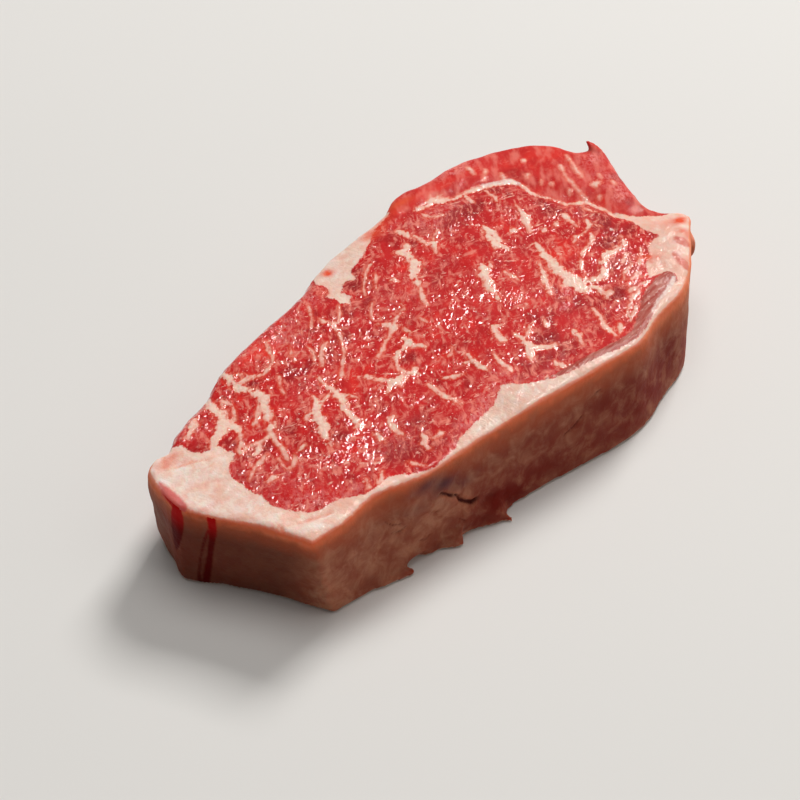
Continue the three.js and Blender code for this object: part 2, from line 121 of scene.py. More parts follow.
# Marbling, one line of (x, y, width) for each fleck of fat.
FLECKS = [
    # network at the tail
    [(-79.4, -3.6, 1.6), (-77, -1.5, 2.8), (-75, 0.3, 2.8), (-72.5, 1.2, 3.6), (-71, 3.5, 3.4), (-70.8, 6, 3),
     (-70, 9, 2.6), (-69.3, 13, 2.2)],
    [(-71, 0, 3), (-70.2, -2, 2), (-71.3, -4.5, 1.3), (-73, -7.5, 1.1), (-75.5, -9.3, 1)],
    [(-83, 4, 0.9), (-80.5, 5.5, 1.5), (-78, 7.5, 1.9), (-76.5, 9, 1.2)],
    # big fleck of the left
    [(-59.5, 19.5, 1.6), (-59.6, 17, 2), (-59.7, 14, 2.2), (-60, 10.5, 2.2), (-59, 8, 2), (-58, 5.5, 2.6),
     (-57.5, 3.5, 3.2), (-59, 1, 2.5), (-60, -1.5, 2.7), (-61.5, -4, 2.1), (-63, -6.5, 1.9), (-64.5, -9, 1.6),
     (-65.5, -11, 1.5), (-65.7, -14, 1.3), (-66.5, -17, 1.1), (-67.5, -20, 0.5)],
    [(-65, -9.7, 1.1), (-67.5, -10.3, 0.9), (-70, -9.8, 0.8), (-73, -9.6, 0.8), (-75.5, -10.2, 0.6)],
    [(-66.5, -3.8, 0.6), (-64, -2.5, 0.8), (-61.5, -0.5, 0.9), (-60, 1, 0.8)],
    [(-59.5, 12.5, 1.2), (-57.5, 12.8, 1.1), (-55, 12.3, 1.4), (-53, 11.5, 1.7), (-51.5, 10.8, 1.1),
     (-49, 11.9, 0.6), (-46, 13.5, 0.4)],
    [(-57.3, 16.2, 0.6), (-55.5, 14.8, 0.8), (-54.8, 12.8, 0.9)],
    [(-69, 1, 0.7), (-67, 4, 0.8), (-65.5, 7, 0.7), (-66.5, 10.5, 0.6)],
    [(-73.5, -13, 0.5), (-72, -12.8, 1.1), (-70.5, -11.3, 0.9), (-69, -10.3, 0.5)],
    [(-79.5, -19.3, 0.6), (-76.5, -17.3, 0.9), (-73.5, -15.8, 1.1), (-71, -15, 0.8)],
    [(-76.5, -23, 0.7), (-75, -22.6, 1.3), (-73.5, -23, 0.7)],
    [(-69.8, -22.8, 0.9), (-68, -23, 1.4), (-66.6, -21.8, 1), (-65.3, -20.3, 0.7)],
    # second and third flecks of the left
    [(-55.6, -24, 0.5), (-55.2, -21.5, 1), (-54.2, -18.5, 2.7), (-52.6, -16, 3.3), (-51.2, -13, 2.5),
     (-50.2, -10.5, 2.2), (-48.3, -8.8, 2.7), (-47.4, -6.8, 1.3), (-47, -5.4, 0.6)],
    [(-50.5, -10.8, 1.1), (-53, -10.5, 0.9), (-54.4, -11.5, 0.6)],
    [(-46.5, -22.5, 0.5), (-44.9, -23, 1.1), (-44.6, -21.5, 2.1), (-44.6, -18.5, 1.3), (-44, -16, 1.7),
     (-42.8, -13, 2.1), (-41.8, -10, 2.2), (-41, -7.5, 2), (-41, -4.5, 1.4), (-41, -2, 0.9), (-40.6, 0.4, 0.4)],
    [(-41, -9.3, 1.1), (-39.3, -10.5, 0.9), (-38.3, -13.5, 0.7)],
    [(-42.5, -6.8, 1), (-44.5, -8.2, 0.7), (-46.3, -8.5, 0.5)],
    [(-44, -21.6, 0.9), (-42.4, -21.4, 0.5)],
    # star of the middle and the hooked fleck beside it
    [(-30.7, -8.9, 1.7), (-29.4, -10.8, 1.1), (-27.5, -13.5, 1.6), (-25.8, -15.5, 3.1), (-23, -15.1, 1.6),
     (-21, -15, 1.4), (-19, -15.4, 1.6), (-17.8, -14.3, 1.2)],
    [(-26.4, -15.6, 2.2), (-29, -16.3, 1.1), (-30.6, -17.1, 0.5)],
    [(-25.8, -15.8, 1.8), (-26, -18.4, 0.6)],
    [(-19.4, -15.2, 1), (-21.3, -13.8, 1.2), (-21.7, -11.5, 1), (-20.4, -9.5, 1.2), (-19.3, -7.8, 1.3),
     (-17.2, -6.3, 1.7), (-14.5, -5.8, 1.9), (-12.2, -5.2, 2), (-11.3, -3.8, 2), (-12, -1.8, 0.9)],
    [(-12, -5.9, 1.4), (-10.5, -7.6, 1.4), (-9.5, -9.2, 1)],
    # short ones of the near left
    [(-38.3, -32.2, 0.7), (-38.5, -30, 1.3), (-38.3, -28, 1.9), (-37.5, -26.2, 1.6), (-35.3, -25.4, 0.8)],
    [(-43.5, -27.3, 1.2), (-43.6, -30.5, 1.5)],
    [(-19.7, -21.8, 0.6), (-19.7, -25.5, 1), (-19.8, -29, 1.5), (-19, -32, 1.2), (-18, -34, 0.6)],
    [(-36, -38.5, 1.3), (-34.5, -38, 1.5), (-34.3, -36, 0.7)],
    [(-36.2, -38.8, 0.9), (-36.3, -41.2, 0.8)],
    [(-32.6, -39.2, 0.8), (-31, -39.2, 1), (-30.1, -38.7, 0.8)],
    [(-43.9, -41, 0.6), (-43, -43, 0.9), (-41.3, -45.2, 0.8)],
    [(-58.2, -42.2, 1), (-56.6, -39, 0.5)],
    [(-55.2, -42.6, 1.1), (-53, -41, 0.9), (-51.5, -39.6, 0.5)],
    [(-14.9, -22.5, 0.7), (-13, -23.7, 1.3), (-11, -25, 0.9), (-9.5, -25.2, 0.5)],
    [(-7.6, -16.6, 0.7), (-5.6, -16, 0.8), (-4.3, -14.4, 0.6)],
    [(-4, -27.6, 1.6), (-4.3, -24.5, 1.9), (-4, -22.5, 1.6), (-3.4, -19.8, 0.8)],
    [(-4.6, -23.4, 0.9), (-6.4, -21.8, 0.5)],
    [(0.8, -33.2, 0.8), (1, -31, 1.5), (1, -28.8, 1.2), (1.6, -26.5, 1), (2, -24.8, 0.6)],
    # far left
    [(-25.1, 19, 0.8), (-24.8, 16.8, 1.4), (-23.7, 14.9, 2.1), (-22.2, 14.7, 0.8)],
    [(-23.9, 14, 1.1), (-24.5, 11, 0.9), (-25.5, 8.5, 0.7), (-27, 6, 0.6), (-29, 3.2, 0.7), (-31.5, 0.8, 0.7),
     (-33.5, -1.3, 0.8), (-35.5, -3.5, 1), (-38.8, -4.2, 0.5)],
    [(-43, 22.5, 0.5), (-43, 20.3, 0.7), (-44.5, 18.3, 0.7), (-45, 15.5, 0.6), (-46.5, 13.5, 0.5)],
    [(-36.9, 3.1, 0.5), (-34.6, 6.4, 0.9), (-32.3, 8.9, 0.6), (-30.5, 10.3, 0.5)],
    [(-13.2, 7.4, 0.7), (-11.6, 5.2, 1.5), (-10.5, 3.1, 1.9), (-12.5, 2.3, 0.9), (-14.5, 0.8, 0.8),
     (-17, -0.5, 0.7), (-19.5, -2, 0.8), (-22.3, -3.8, 0.5)],
    [(-10.5, 3.5, 0.8), (-8, 5.3, 0.8), (-5, 6.5, 0.7), (-3, 7.5, 0.6), (-2.6, 9.4, 0.5)],
    [(-13.2, 9.8, 0.4), (-11, 12.8, 0.6), (-8.3, 15.6, 0.5)],
    [(-7.6, 19.3, 0.4), (-5.5, 22.5, 0.7), (-3, 25, 0.7), (-1, 27, 0.7), (1, 28.5, 0.7), (3, 29.6, 0.5)],
    [(-3.2, 19.8, 0.4), (-1, 22.5, 0.6), (1, 25, 0.5)],
    [(-8.8, 1.2, 0.5), (-8.8, -0.8, 1.2), (-8.5, -1.6, 0.5)],
    [(-2.6, 1, 0.5), (-2.4, -0.6, 0.9), (-2.5, -1.8, 0.4)],
    [(1.8, 19.5, 0.6), (3.1, 19.4, 1.5), (3.7, 17.8, 0.5)],
    # hair-thin veins of the far left
    [(-42.5, 21.2, 0.3), (-44.3, 17.1, 0.5), (-46.2, 13.2, 0.3)],
    [(-38.4, 15.5, 0.3), (-40.8, 11.9, 0.5), (-41.8, 9.4, 0.3)],
    [(-23.5, 25.9, 0.4), (-26.3, 20.9, 0.5), (-29.3, 17.6, 0.3)],
    [(-16.8, 20.3, 0.4), (-19, 17.2, 0.6), (-21.7, 14.7, 0.5)],
    [(-29.6, 10.1, 0.3), (-32.6, 8.3, 0.6), (-35.3, 5.3, 0.4)],
    [(-48.9, 7.5, 0.3), (-51.7, 3.1, 0.5), (-52.4, 0.4, 0.3)],
    [(-35, 12.5, 0.3), (-35.2, 9.4, 0.5), (-36.9, 6.5, 0.3)],
    [(-67.3, 9, 0.4), (-69, 4.8, 0.6)],
    [(-60.3, 1.9, 0.4), (-62.6, -0.6, 0.6), (-64.9, -2.7, 0.5)],
    [(-63.5, -19.6, 0.6), (-61, -19, 0.8)],
    [(-69.2, -18.2, 0.5), (-69.9, -21.6, 0.5)],
    # middle, far side
    [(2.6, 3.6, 0.6), (3.3, 5.5, 1.3), (4.3, 7.8, 1.6), (5.2, 9.5, 0.9), (6.6, 11.2, 0.4)],
    [(6.6, 12.4, 1), (7.4, 13.6, 1.8), (8.3, 15.3, 1.9), (9.5, 17.5, 2.5), (11.5, 19.5, 3.4), (13, 21.5, 3.3),
     (14.3, 24, 2.4), (14.5, 26, 2.4), (14, 27.8, 1.7), (11.8, 28.8, 0.8)],
    [(14.4, 27.4, 1.7), (16.5, 28.5, 2), (17.6, 30, 0.8)],
    [(13.2, 23.4, 1), (11.6, 23.6, 0.5)],
    [(19.6, 36.6, 1.2), (20.2, 34, 2.1), (20.3, 32.2, 1.1)],
    [(21.8, 31.4, 0.7), (22.2, 28.5, 1.1), (22, 26, 1.7), (23.8, 25, 2), (22.6, 22.8, 1), (21.2, 20.8, 0.6)],
    [(24.3, 25.9, 1), (27, 27.7, 0.8), (29.2, 28.8, 0.6)],
    [(30.8, 38, 0.7), (31, 36, 0.9), (31.5, 34.5, 0.9), (33.5, 33.6, 0.7), (35.2, 33.4, 0.5)],
    [(47.6, 36.8, 1.7), (47.3, 35, 1.2), (46.8, 32.6, 0.6)],
    [(54.4, 35, 0.8), (53.7, 32, 0.9), (53.8, 30, 1), (52.9, 28.2, 0.5)],
    [(63, 34.8, 1.2), (64.2, 36.9, 1.5), (65, 38.8, 0.7)],
    [(37.6, 41.6, 1.3), (39.3, 43.8, 0.7)],
    # middle, near side
    [(20.1, -7.8, 1), (20.9, -4.6, 1.5), (22, -1.5, 2.6), (23.5, 1, 3), (24.8, 3.5, 3), (26.3, 5.3, 2.2),
     (27.2, 7.2, 0.9)],
    [(28.3, 4.8, 0.9), (29.4, 6.2, 1.1)],
    [(30.4, -5.3, 0.5), (30.5, -2.5, 1.2), (30, 0.3, 0.7)],
    [(13, -22.2, 0.9), (13, -25, 1.6), (12.8, -27, 2.5), (12.2, -29, 3), (10.5, -30.8, 1.9), (9, -32.5, 1.4),
     (8.2, -33.8, 0.7)],
    [(13, -29.6, 2), (15.5, -31.5, 1.5), (17.5, -33.3, 1.9), (18.6, -32.2, 0.8)],
    [(14.3, -25.2, 0.8), (16.5, -24, 0.9), (18.7, -22.1, 0.5)],
    [(8.3, -22.2, 1.5), (8.8, -19.5, 1.5), (9.3, -17.5, 1.7), (10.8, -15.8, 1.7), (12.8, -16.4, 0.6)],
    [(12.9, -38.4, 1.3), (13.2, -41, 1.6)],
    [(22.2, -25.2, 0.9), (22.8, -24.2, 1.3), (23.8, -22.8, 0.6)],
    [(27, -31.6, 0.9), (26.6, -33.4, 1.8), (25.6, -35.5, 0.9), (24.3, -37.7, 0.6)],
    [(38.7, -27.6, 0.6), (38, -30, 1.1), (37.3, -32, 1.3), (36, -34, 1.2), (35, -36, 1.3), (34.5, -38.5, 1.4),
     (34.2, -41.2, 1)],
    # right
    [(38.5, 7.4, 0.9), (38.5, 9.5, 2.4), (37.8, 11.8, 3.4), (38, 13.5, 3), (38.8, 15.5, 1.9),
     (38.9, 17.2, 1.1)],
    [(39.4, 13, 2), (40.2, 15.2, 1.4), (40.6, 17.5, 2.3), (40.6, 19.5, 2.2), (41.1, 21.6, 0.9)],
    [(37.2, 11.3, 1), (35.6, 10.8, 0.5)],
    [(50.3, 10.3, 0.6), (51.5, 12.5, 1), (52.6, 14.5, 1.6), (54, 16.5, 2), (54.8, 18.5, 1.5), (55.3, 20.5, 0.9),
     (55.8, 22.8, 0.5)],
    [(47.5, 5.3, 0.7), (46.5, 2.8, 1.2), (45.8, 0, 2.2), (44.5, -3, 2.8), (43.5, -6, 3), (43, -9, 3.3),
     (42.8, -12, 3.7), (43.1, -15, 4.6), (43.2, -17.5, 4.9), (43.3, -19.8, 3.6), (43, -21.4, 1)],
    [(44.5, -16.2, 2.8), (46.3, -18, 2.3), (48.5, -19.2, 1.9), (51, -19.6, 2.2), (53, -17.8, 2),
     (55.5, -15.5, 2), (58, -13.5, 2.6), (60.5, -13, 2), (64, -13.8, 1.8), (66.5, -13, 1.5), (68, -11.2, 1.4),
     (68.7, -9.6, 0.7)],
    [(45.2, -20.4, 1.8), (46.1, -22.4, 1.4), (45.8, -24.4, 2), (46, -25.9, 2.5), (47.8, -25.4, 1)],
    [(41.7, -2.3, 0.6), (39.5, -5, 0.9), (38, -8, 1.4), (36.3, -10.5, 1.9), (34.8, -13.4, 2.1),
     (33.3, -15.4, 1)],
    [(41.4, -15, 1.1), (38.3, -15, 0.8)],
    [(48, -13.5, 0.4), (50.5, -10.8, 0.6), (51.8, -9.4, 0.4)],
    [(52.3, -9, 0.7), (55, -7.7, 1), (58, -6.8, 0.9), (60.5, -5.5, 0.9), (62, -4.4, 0.9), (62.7, -2.8, 0.7)],
    [(55.5, -2.8, 0.5), (58.2, -1, 1.1), (60.8, -1.4, 0.8), (63.4, -0.6, 1), (65.7, 0.6, 1.2), (67, 3, 1)],
    [(62.2, 2.4, 0.5), (63, 4.6, 1.1), (63.4, 7.4, 1.4), (64, 10, 1.4)],
    [(67.6, -1.9, 0.8), (66.4, 0.2, 0.7)],
    [(72.8, 3.4, 0.6), (71.6, 5.6, 1.1), (71, 8, 0.7)],
    [(46.6, 13.6, 0.6), (47.1, 14.2, 1.8), (47.4, 15.2, 0.8)],
    [(53.3, 7.6, 0.7), (54.3, 8.3, 1.2)],
    [(58.2, 7.2, 0.8), (58.9, 8.2, 1.8)],
    # pale edge of the lean beside the silverskin
    [(35.8, -41.2, 0.7), (38.3, -39, 1.2), (39.2, -37.8, 0.8)],
    [(42.3, -39, 0.9), (45.2, -37.5, 1.1), (48.2, -35.6, 0.9)],
    [(43.2, -37, 0.6), (45, -35.4, 0.9), (47.5, -33.9, 0.8)],
    [(48.2, -33.4, 1), (50.5, -32.4, 1.6), (53.3, -31.4, 1.3)],
    [(51.5, -30, 0.7), (53.2, -29.2, 1.2), (55, -30.4, 0.8)],
    [(56.2, -29.4, 0.7), (58.5, -30.2, 1)],
    [(55.5, -26.2, 0.5), (58, -26, 0.9), (60.3, -25.2, 0.7)],
    [(54, -24.9, 0.4), (56.5, -23, 0.7), (59, -22, 0.6), (61.5, -21.4, 0.4)],
    [(63.3, -22.6, 0.8), (65, -21, 0.7), (67, -19.4, 0.6), (69, -18, 0.6)],
    [(59.3, -19.2, 0.4), (61.5, -18.2, 0.7), (63.4, -16.6, 0.8)],
    # thick piece of the seam
    [(36.2, 41.4, 1.8), (38.6, 41, 3.4), (41.2, 39.9, 3.6), (43.4, 38.6, 2)],
    # the small muscle's own streaks
    [(75.5, 11.2, 1.3), (76.2, 14.5, 1), (76.8, 17.5, 1), (77.8, 20, 1), (78.5, 23.5, 0.9), (80, 26.5, 1),
     (82, 30, 0.8)],
    [(82.5, 20.8, 1), (83.4, 23.6, 1.2), (85, 27, 1.1), (87, 31, 1), (88, 33, 0.6)],
    [(58, 39.4, 0.8), (60, 41.2, 1.2), (62.2, 43.2, 0.8)],
    [(57.3, 43.4, 1), (58, 45.4, 1.4), (58.6, 47.4, 1)],
    [(82, 13.9, 1.4), (83.2, 14.4, 3), (84.6, 14.8, 1.2)],
    [(73.5, 16.8, 1), (74.4, 17.9, 1.5)],
    [(75.2, 39.2, 1), (76.3, 40.3, 1.8)],
    [(69.4, 31.8, 0.9), (70.8, 32.8, 1.2)],
    [(70.4, 26.2, 0.5), (71.6, 27.6, 0.8)],
    [(72, 23.4, 0.7), (73, 24.4, 1.1)],
    [(78.3, 8.8, 0.7), (79.1, 9.6, 1.2)],
    [(86.5, 16.2, 0.7), (87.8, 18.2, 0.7)],
    [(87.2, 11, 0.8), (88.2, 12.6, 1.2)],
]
# Patches as (x, y, reach in x, reach in y, amount): dark (-) and bright (+) lean.
TONES = [
    (-52, -22, 3.2, 2.6, -0.9), (-40, -37, 10, 4, -0.8), (-34, -31, 6, 5, -0.5), (13, -36, 10, 3.6, -1),
    (17.5, -29.5, 4, 2.2, -0.8), (20, -27, 4, 4, -0.6), (48, -28, 6, 2.4, -1.1), (-16, -9.5, 3.4, 2.4, -0.9),
    (-2.5, 29.5, 2.6, 2.8, -0.9), (-7.5, 25, 4, 3, -1.1), (63, 17, 4, 6, -0.8), (68, -2, 4, 3, -0.6),
    (72, 2, 3, 5, -0.5), (63, -9.5, 6, 3, -0.8), (38, -22, 8, 6, -0.5), (57, 33, 5, 4, -0.5),
    (40, 32.5, 9, 3.6, -0.6), (30, 28, 6, 3, -0.4), (-22, 8, 7, 3, -0.5), (-40, 7, 9, 4, -0.5),
    (-56, 9.8, 3, 1.5, -0.8), (-75.5, -12, 3, 1.6, -0.4), (-71, -12, 5, 2.2, -0.7), (-61, -11, 4, 5, -0.4),
    (-75, -5, 2.4, 3, -0.6), (67, -6, 5, 4, -0.5), (58, -18, 6, 2.6, -0.8), (19, 29, 2, 2.4, -1),
    (12, 9, 3, 4, -0.4), (77, 37.5, 4, 2, -0.7), (69, 37.5, 3.6, 2, -0.6), (50, 42, 7, 2, -0.4),
    (91, 13, 2.6, 2.6, -0.9), (85.5, -1, 2, 5, -0.8), (-18, 17, 8, 4, -0.5), (-46, 4, 5, 4, -0.3),
    (-78, -27, 4, 4, -0.3), (29, 21, 5, 3, -0.3), (45, 30, 6, 3, -0.4), (79, 16, 3, 4, -0.4),
    (-50, 19, 10, 4, 0.7), (-61, 15, 2, 5, 0.4), (-30, -6, 8, 5, 0.4), (0, -4, 12, 8, 0.3),
    (24, 22.5, 9, 3, 0.5), (8, 22, 4, 3, 0.6), (50, -5, 8, 6, 0.5), (42, 45.4, 12, 1.8, 1.2),
    (85, 38, 6, 4, 1.3), (30, 43.6, 5, 1.4, 0.9), (78.5, 5, 2.4, 6, 0.8), (68, 44, 10, 3.5, 0.6),
    (84, 34.5, 3, 3, 0.5), (20, -10, 10, 8, 0.3), (50, 16, 7, 7, 0.35), (-45, -28, 12, 5, 0.25),
    (-67, -32, 7, 6, 0.3), (58.5, -27, 4, 1.5, 0.8), (-26.5, -12, 3, 2, 0.5), (-20, -12.6, 1.6, 1.4, 0.5),
    (22, 40, 4, 2, 0.6),
]
# Painted sheen: pink and lilac patches of reflection on the wet face.
SHEENS = [
    (-37, 19.5, 7, 4.5, 0.75), (-20, 29, 7, 3, 0.8), (-80, 6, 4.5, 4, 0.8), (-30, 25, 6, 2.4, 0.6),
    (93, 26.5, 3.6, 3.4, 1), (83, 5, 2.6, 3, 0.9), (55, 48, 7, 1.6, 0.9), (-45, -1, 6, 3, 0.3),
    (25, -11, 4, 3, 0.4), (31, -31, 5, 4, 0.35), (-30, -44, 5, 2, 0.8), (-20, -40, 6, 2.2, 0.9),
    (-12, -37.6, 5, 2.6, 0.9), (0, 12, 9, 9, 0.3), (-2, -37.2, 3, 1.6, 0.7), (6, -41, 5, 1.2, 0.8),
    (-77, -34, 6, 4, 0.6), (-72, -37, 6, 3, 0.7), (-62, -40, 6, 2.4, 0.6), (-79, -22, 3, 6, 0.4),
    (30, 33, 6, 4, 0.6), (-81, -13, 2, 3, 0.5), (27, 38, 5, 2, 0.5), (70, 8, 4, 6, 0.45),
    (84, 23, 5, 8, 0.3), (38, 35, 8, 2.4, 0.6), (44, 50.5, 8, 1.4, 0.7), (57, 50.5, 8, 1.6, 0.9),
    (86.5, 8, 3, 6, 0.8), (90, 15, 3, 4, 0.6), (-50, 21, 6, 1.6, 0.5), (20, 15.5, 4, 2.5, 0.4),
    (56, -27, 6, 4, 0.5), (46, -31, 6, 4, 0.5), (-4, -33, 6, 4, 0.5), (-70, -25, 6, 6, 0.35),
    (-40, -33, 9, 6, 0.3), (18, -37, 9, 4, 0.3),
]
# Orange where thin fat lies over red: round the far fat band and at the chine tip.
BLUSHES = [
    (31, 46.2, 3.4, 1.2, 0.9), (13, 41, 5, 2.4, 0.9), (-9, 35.2, 2.1, 1.7, 1.4), (20, 44, 4, 2, 0.6),
    (27, 47, 3, 2.4, 0.8), (-15.5, 28, 2, 1.6, 0.8), (88.2, -15.9, 2, 1.6, 1.3), (67.6, -22.7, 1.1, 1.1, 1),
    (69.2, -24.4, 0.9, 0.9, 0.9), (66.4, -24.4, 0.8, 0.8, 0.8), (85.5, -15.6, 3.4, 2, 0.7),
    (-92, 0.5, 5, 2, 0.3), (46.3, -25.6, 1.8, 1.5, 0.5), (66.5, -21.8, 2, 1.4, 0.9), (84, -21, 2, 2.4, 0.8),
    (-94, -20, 4, 1, 0.35), (-79, -41.4, 6, 0.8, 0.3), (-90, 1, 2.6, 1, 0.45), (-93.5, -1, 2, 1, 0.4),
]
# The cap's wall, as (x, z): the fissure under the torn sheet of fat, and small cracks.
FISSURE = [
    (-40, 20.8, 0.3), (-38.2, 20.2, 0.7), (-35.4, 17.6, 0.7), (-33, 16.2, 0.5), (-32.2, 14.2, 1.1),
    (-30, 12.2, 0.9), (-28, 10.6, 1.2), (-25.8, 10.6, 0.5),
]
CRACKS = [
    [(-56.5, 19.5, 0.3), (-54.4, 17.4, 0.5), (-52, 16.6, 0.4)],
    [(-55, 15, 0.3), (-52.6, 14.4, 0.5), (-50.4, 15.2, 0.3)],
    [(-47, 8.2, 0.4), (-45, 7.2, 0.6), (-43, 7.8, 0.3)],
    [(-42.4, 15.8, 0.3), (-40.4, 15, 0.5)],
    [(-33.5, 8.4, 0.3), (-31.4, 6.4, 0.5)],
    [(6, 14, 0.3), (10, 15.4, 0.5), (13.5, 17.8, 0.4)],
    [(17, 22, 0.3), (21, 22.8, 0.4)],
]
# Stains on the cap's wall as (x, z, reach, reach, amount): red, and the purple bruise at the fissure's head.
STAINS = [
    (-22, 8, 10, 5, 0.8), (-14, 3, 8, 5, 0.9), (-2, 8, 10, 6, 0.6), (-30, 3, 8, 3, 0.6),
    (-46, 2, 8, 3.5, 0.5), (-62, 4, 6, 3, 0.4), (14, 5, 14, 6, 0.6), (32, 8, 10, 9, 0.6),
    (48, 8, 10, 10, 0.8), (56, 16, 5, 10, 0.4), (12, 14, 46, 16, 0.3), (68, 8, 10, 10, 0.9),
    (38, 18, 20, 9, 0.35), (80, 10, 10, 12, 0.9), (-8, 18, 10, 6, 0.4), (20, 18, 12, 6, 0.35),
    (-70, 14, 6, 7, 0.15), (-33, 25, 5, 2.4, 0.4), (-52, 22, 4, 4, 0.25), (-24, 20, 6, 5, 0.4),
]
BRUISES = [
    (-44, 26, 6, 2.4, 0.9), (-37, 22.5, 5, 2.2, 1), (-31, 19, 4, 2, 0.5), (-47, 20, 4, 3, 0.3),
]
# Folds in the cut fat as lines of (x, y, width), and pale patches as (x, y, reach, reach, amount): the pale
# peel beside the folds, and partly painted highlight at the tail's end and the chine end.
FOLDS = [
    [(-84.3, -37.6, 0.4), (-84.8, -39.4, 0.9)],
    [(-80, -40.3, 0.4), (-76.8, -41.2, 0.8), (-73.4, -42.3, 0.9), (-70.6, -42.9, 0.4)],
    [(-91.5, -3, 0.4), (-87.5, -4.2, 0.6), (-83.5, -6.5, 0.4)],
]
PALES = [
    (-83, -41.3, 2.8, 1.3, 1), (-78, -43, 3.4, 1.2, 0.8), (-97, -5, 1.6, 4, 0.7), (86.1, -18.8, 1.2, 1.4, 1.2),
    (84.6, -20.8, 0.9, 0.9, 0.8), (88, -22.5, 1.2, 3, 0.7), (74.5, -35.5, 1.4, 2.4, 0.9),
    (76.5, -28.5, 2, 1.6, 0.4), (-92.5, -18.9, 1.6, 1.4, 0.9), (-95.5, -6, 3, 2.4, 0.6), (-90, -10, 3, 2, 0.6),
    (-85, -20, 2.4, 3, 0.3),
]
# Pale film and threads that lie over the lean and the gristle.
PEELS = [
    [(64.4, -28.2, 0.6), (66.4, -29.2, 1.1), (69, -29.9, 1.4), (70.6, -31.6, 1.3), (70.4, -33.6, 0.9)],
    [(49.5, -40.6, 0.6), (55.3, -38.3, 1.3), (59.8, -37, 1.6), (63.2, -35.5, 1.7), (66.4, -33.6, 1)],
    [(68.6, -5.6, 0.8), (69.1, -5.2, 1)],
    [(56, 37.4, 1.6), (60.5, 36, 1.8), (64, 34.2, 2.6), (65.2, 31.4, 1.6)],
]
# Dark translucent places in the chine's fat.
OVALS = [
    [(79.9, -21.9, 2.2), (80.1, -23.6, 3.6), (80.3, -25.5, 2.8)],
    [(74.2, -26.4, 1.6), (73.4, -28.4, 2.2), (73.2, -31, 3), (72.4, -33, 2)],
]
# Pink patch on the crest where the first streak starts, as (x, y, width).
PURGE = [
    (-98, -4.6, 1), (-98.4, -8, 2.4), (-98.7, -11.5, 3.4), (-98.9, -15.2, 3.6),
]
# Streaks of red juice on the tail's end wall, as lines of (y, z, width). The first runs up along the crest.
JUICE = [
    [(-5.5, 29.7, 0.4), (-10, 29.2, 0.8), (-14, 28.7, 1.6)],
    [(-14.2, 28.6, 3), (-14, 26, 4.2), (-13.4, 21.5, 4.4), (-12.6, 17, 3.8), (-11.9, 13.4, 2.6),
     (-11, 10.4, 0.6)],
    [(-22.8, 29, 2.4), (-23, 27, 2.3), (-22.4, 22, 1.9), (-21.5, 17.4, 1.6), (-20.6, 13, 1.5), (-19.5, 8, 1.6),
     (-18.5, 3, 1.7), (-18, 0, 1.7)],
    [(-21.6, 23.5, 0.7), (-20.3, 19.1, 0.9), (-19.4, 15.7, 0.7), (-18.1, 10.3, 0.6), (-17.2, 5.1, 0.8),
     (-16.9, 0, 1.2)],
]
# Red stain round the first streak, as (y, z, reach, reach, amount).
END_STAINS = [
    (-9.5, 24, 3, 6, 0.6), (-8.5, 12, 3, 8, 0.4), (-14, 12, 4, 8, 0.35), (-22, 10, 5, 12, 0.2),
]
# Wet places of the lean that glitter (+) and places that don't (-).
SPARKLES = [
    (-79, 7, 4, 3, 1), (-70.5, 11, 4, 3, 0.8), (-60, 12, 4, 3, 0.7), (-68, 1, 3, 3, 0.6),
    (-71, -13, 3, 2.4, 0.8), (-42, -4.5, 3, 3, 0.8), (-44, -14, 3, 3, 0.8), (-53, -14, 3, 2.4, 0.7),
    (-57.5, -28, 3.6, 3, 0.8), (-41.5, -28, 3, 2.4, 0.8), (-33, -32, 3, 2.4, 0.7), (-37.5, 23, 5, 3, 0.8),
    (-16, -5.5, 3, 2, 0.8), (-25.5, -15, 3, 2, 0.8), (-5.5, -23.5, 3, 2.4, 0.7), (12.5, 25.5, 3, 2.4, 0.8),
    (23, 25.5, 2.4, 2, 0.8), (26, 4, 3, 3, 0.9), (20.5, -5, 3, 3, 0.8), (38.5, 9.5, 3, 2.4, 0.8),
    (38.5, 1, 3, 3, 0.5), (25, -11, 4, 3, 0.6), (58, -13.5, 3, 2.4, 0.4), (64, 9, 4, 3, 0.8),
    (73, 9, 3, 2.5, 0.6), (50, -33, 5, 3, 0.4), (56, -28.5, 4, 3, 0.5), (42.5, -38, 4, 2.4, 0.5),
    (69, -18.5, 3, 3, 0.8), (62, -19, 4, 4, 0.5), (61, -25, 3, 2.4, 0.6), (46, -8, 10, 8, -0.6),
    (37, -16, 8, 5, -1.1), (29, -24, 5, 4, -1.2), (40, -25, 8, 6, -0.4), (-40, 12, 16, 10, 0.2),
    (-68, -28, 10, 10, 0.12), (-22, -39, 16, 6, -1.4), (0, -38, 8, 5, -1.4), (-50, -42, 20, 3, -0.8),
    (30, -41, 16, 3, -0.6),
]


# ---------------------------------------------------------------- numbers over the mesh
def smoothstep(low, high, value):
    t = np.clip((value - low) / (high - low), 0.0, 1.0)
    return t * t * (3.0 - 2.0 * t)


def lattice_noise(points, size, seed):
    """Smooth noise from -1 to 1 whose lumps are about `size` across."""
    table = np.random.default_rng(SEED + seed).uniform(-1.0, 1.0, 4096)
    q = points / size
    cell = np.floor(q).astype(np.int64)
    f = q - cell
    f = f * f * (3.0 - 2.0 * f)
    total = np.zeros(len(points))
    for corner in np.ndindex(2, 2, 2):
        key, weight = 0, 1.0
        for axis, side in enumerate(corner):
            key = key ^ ((cell[:, axis] + side) * HASH_PRIMES[axis])
            weight = weight * (f[:, axis] if side else 1 - f[:, axis])
        total += weight * table[key & (len(table) - 1)]
    return total


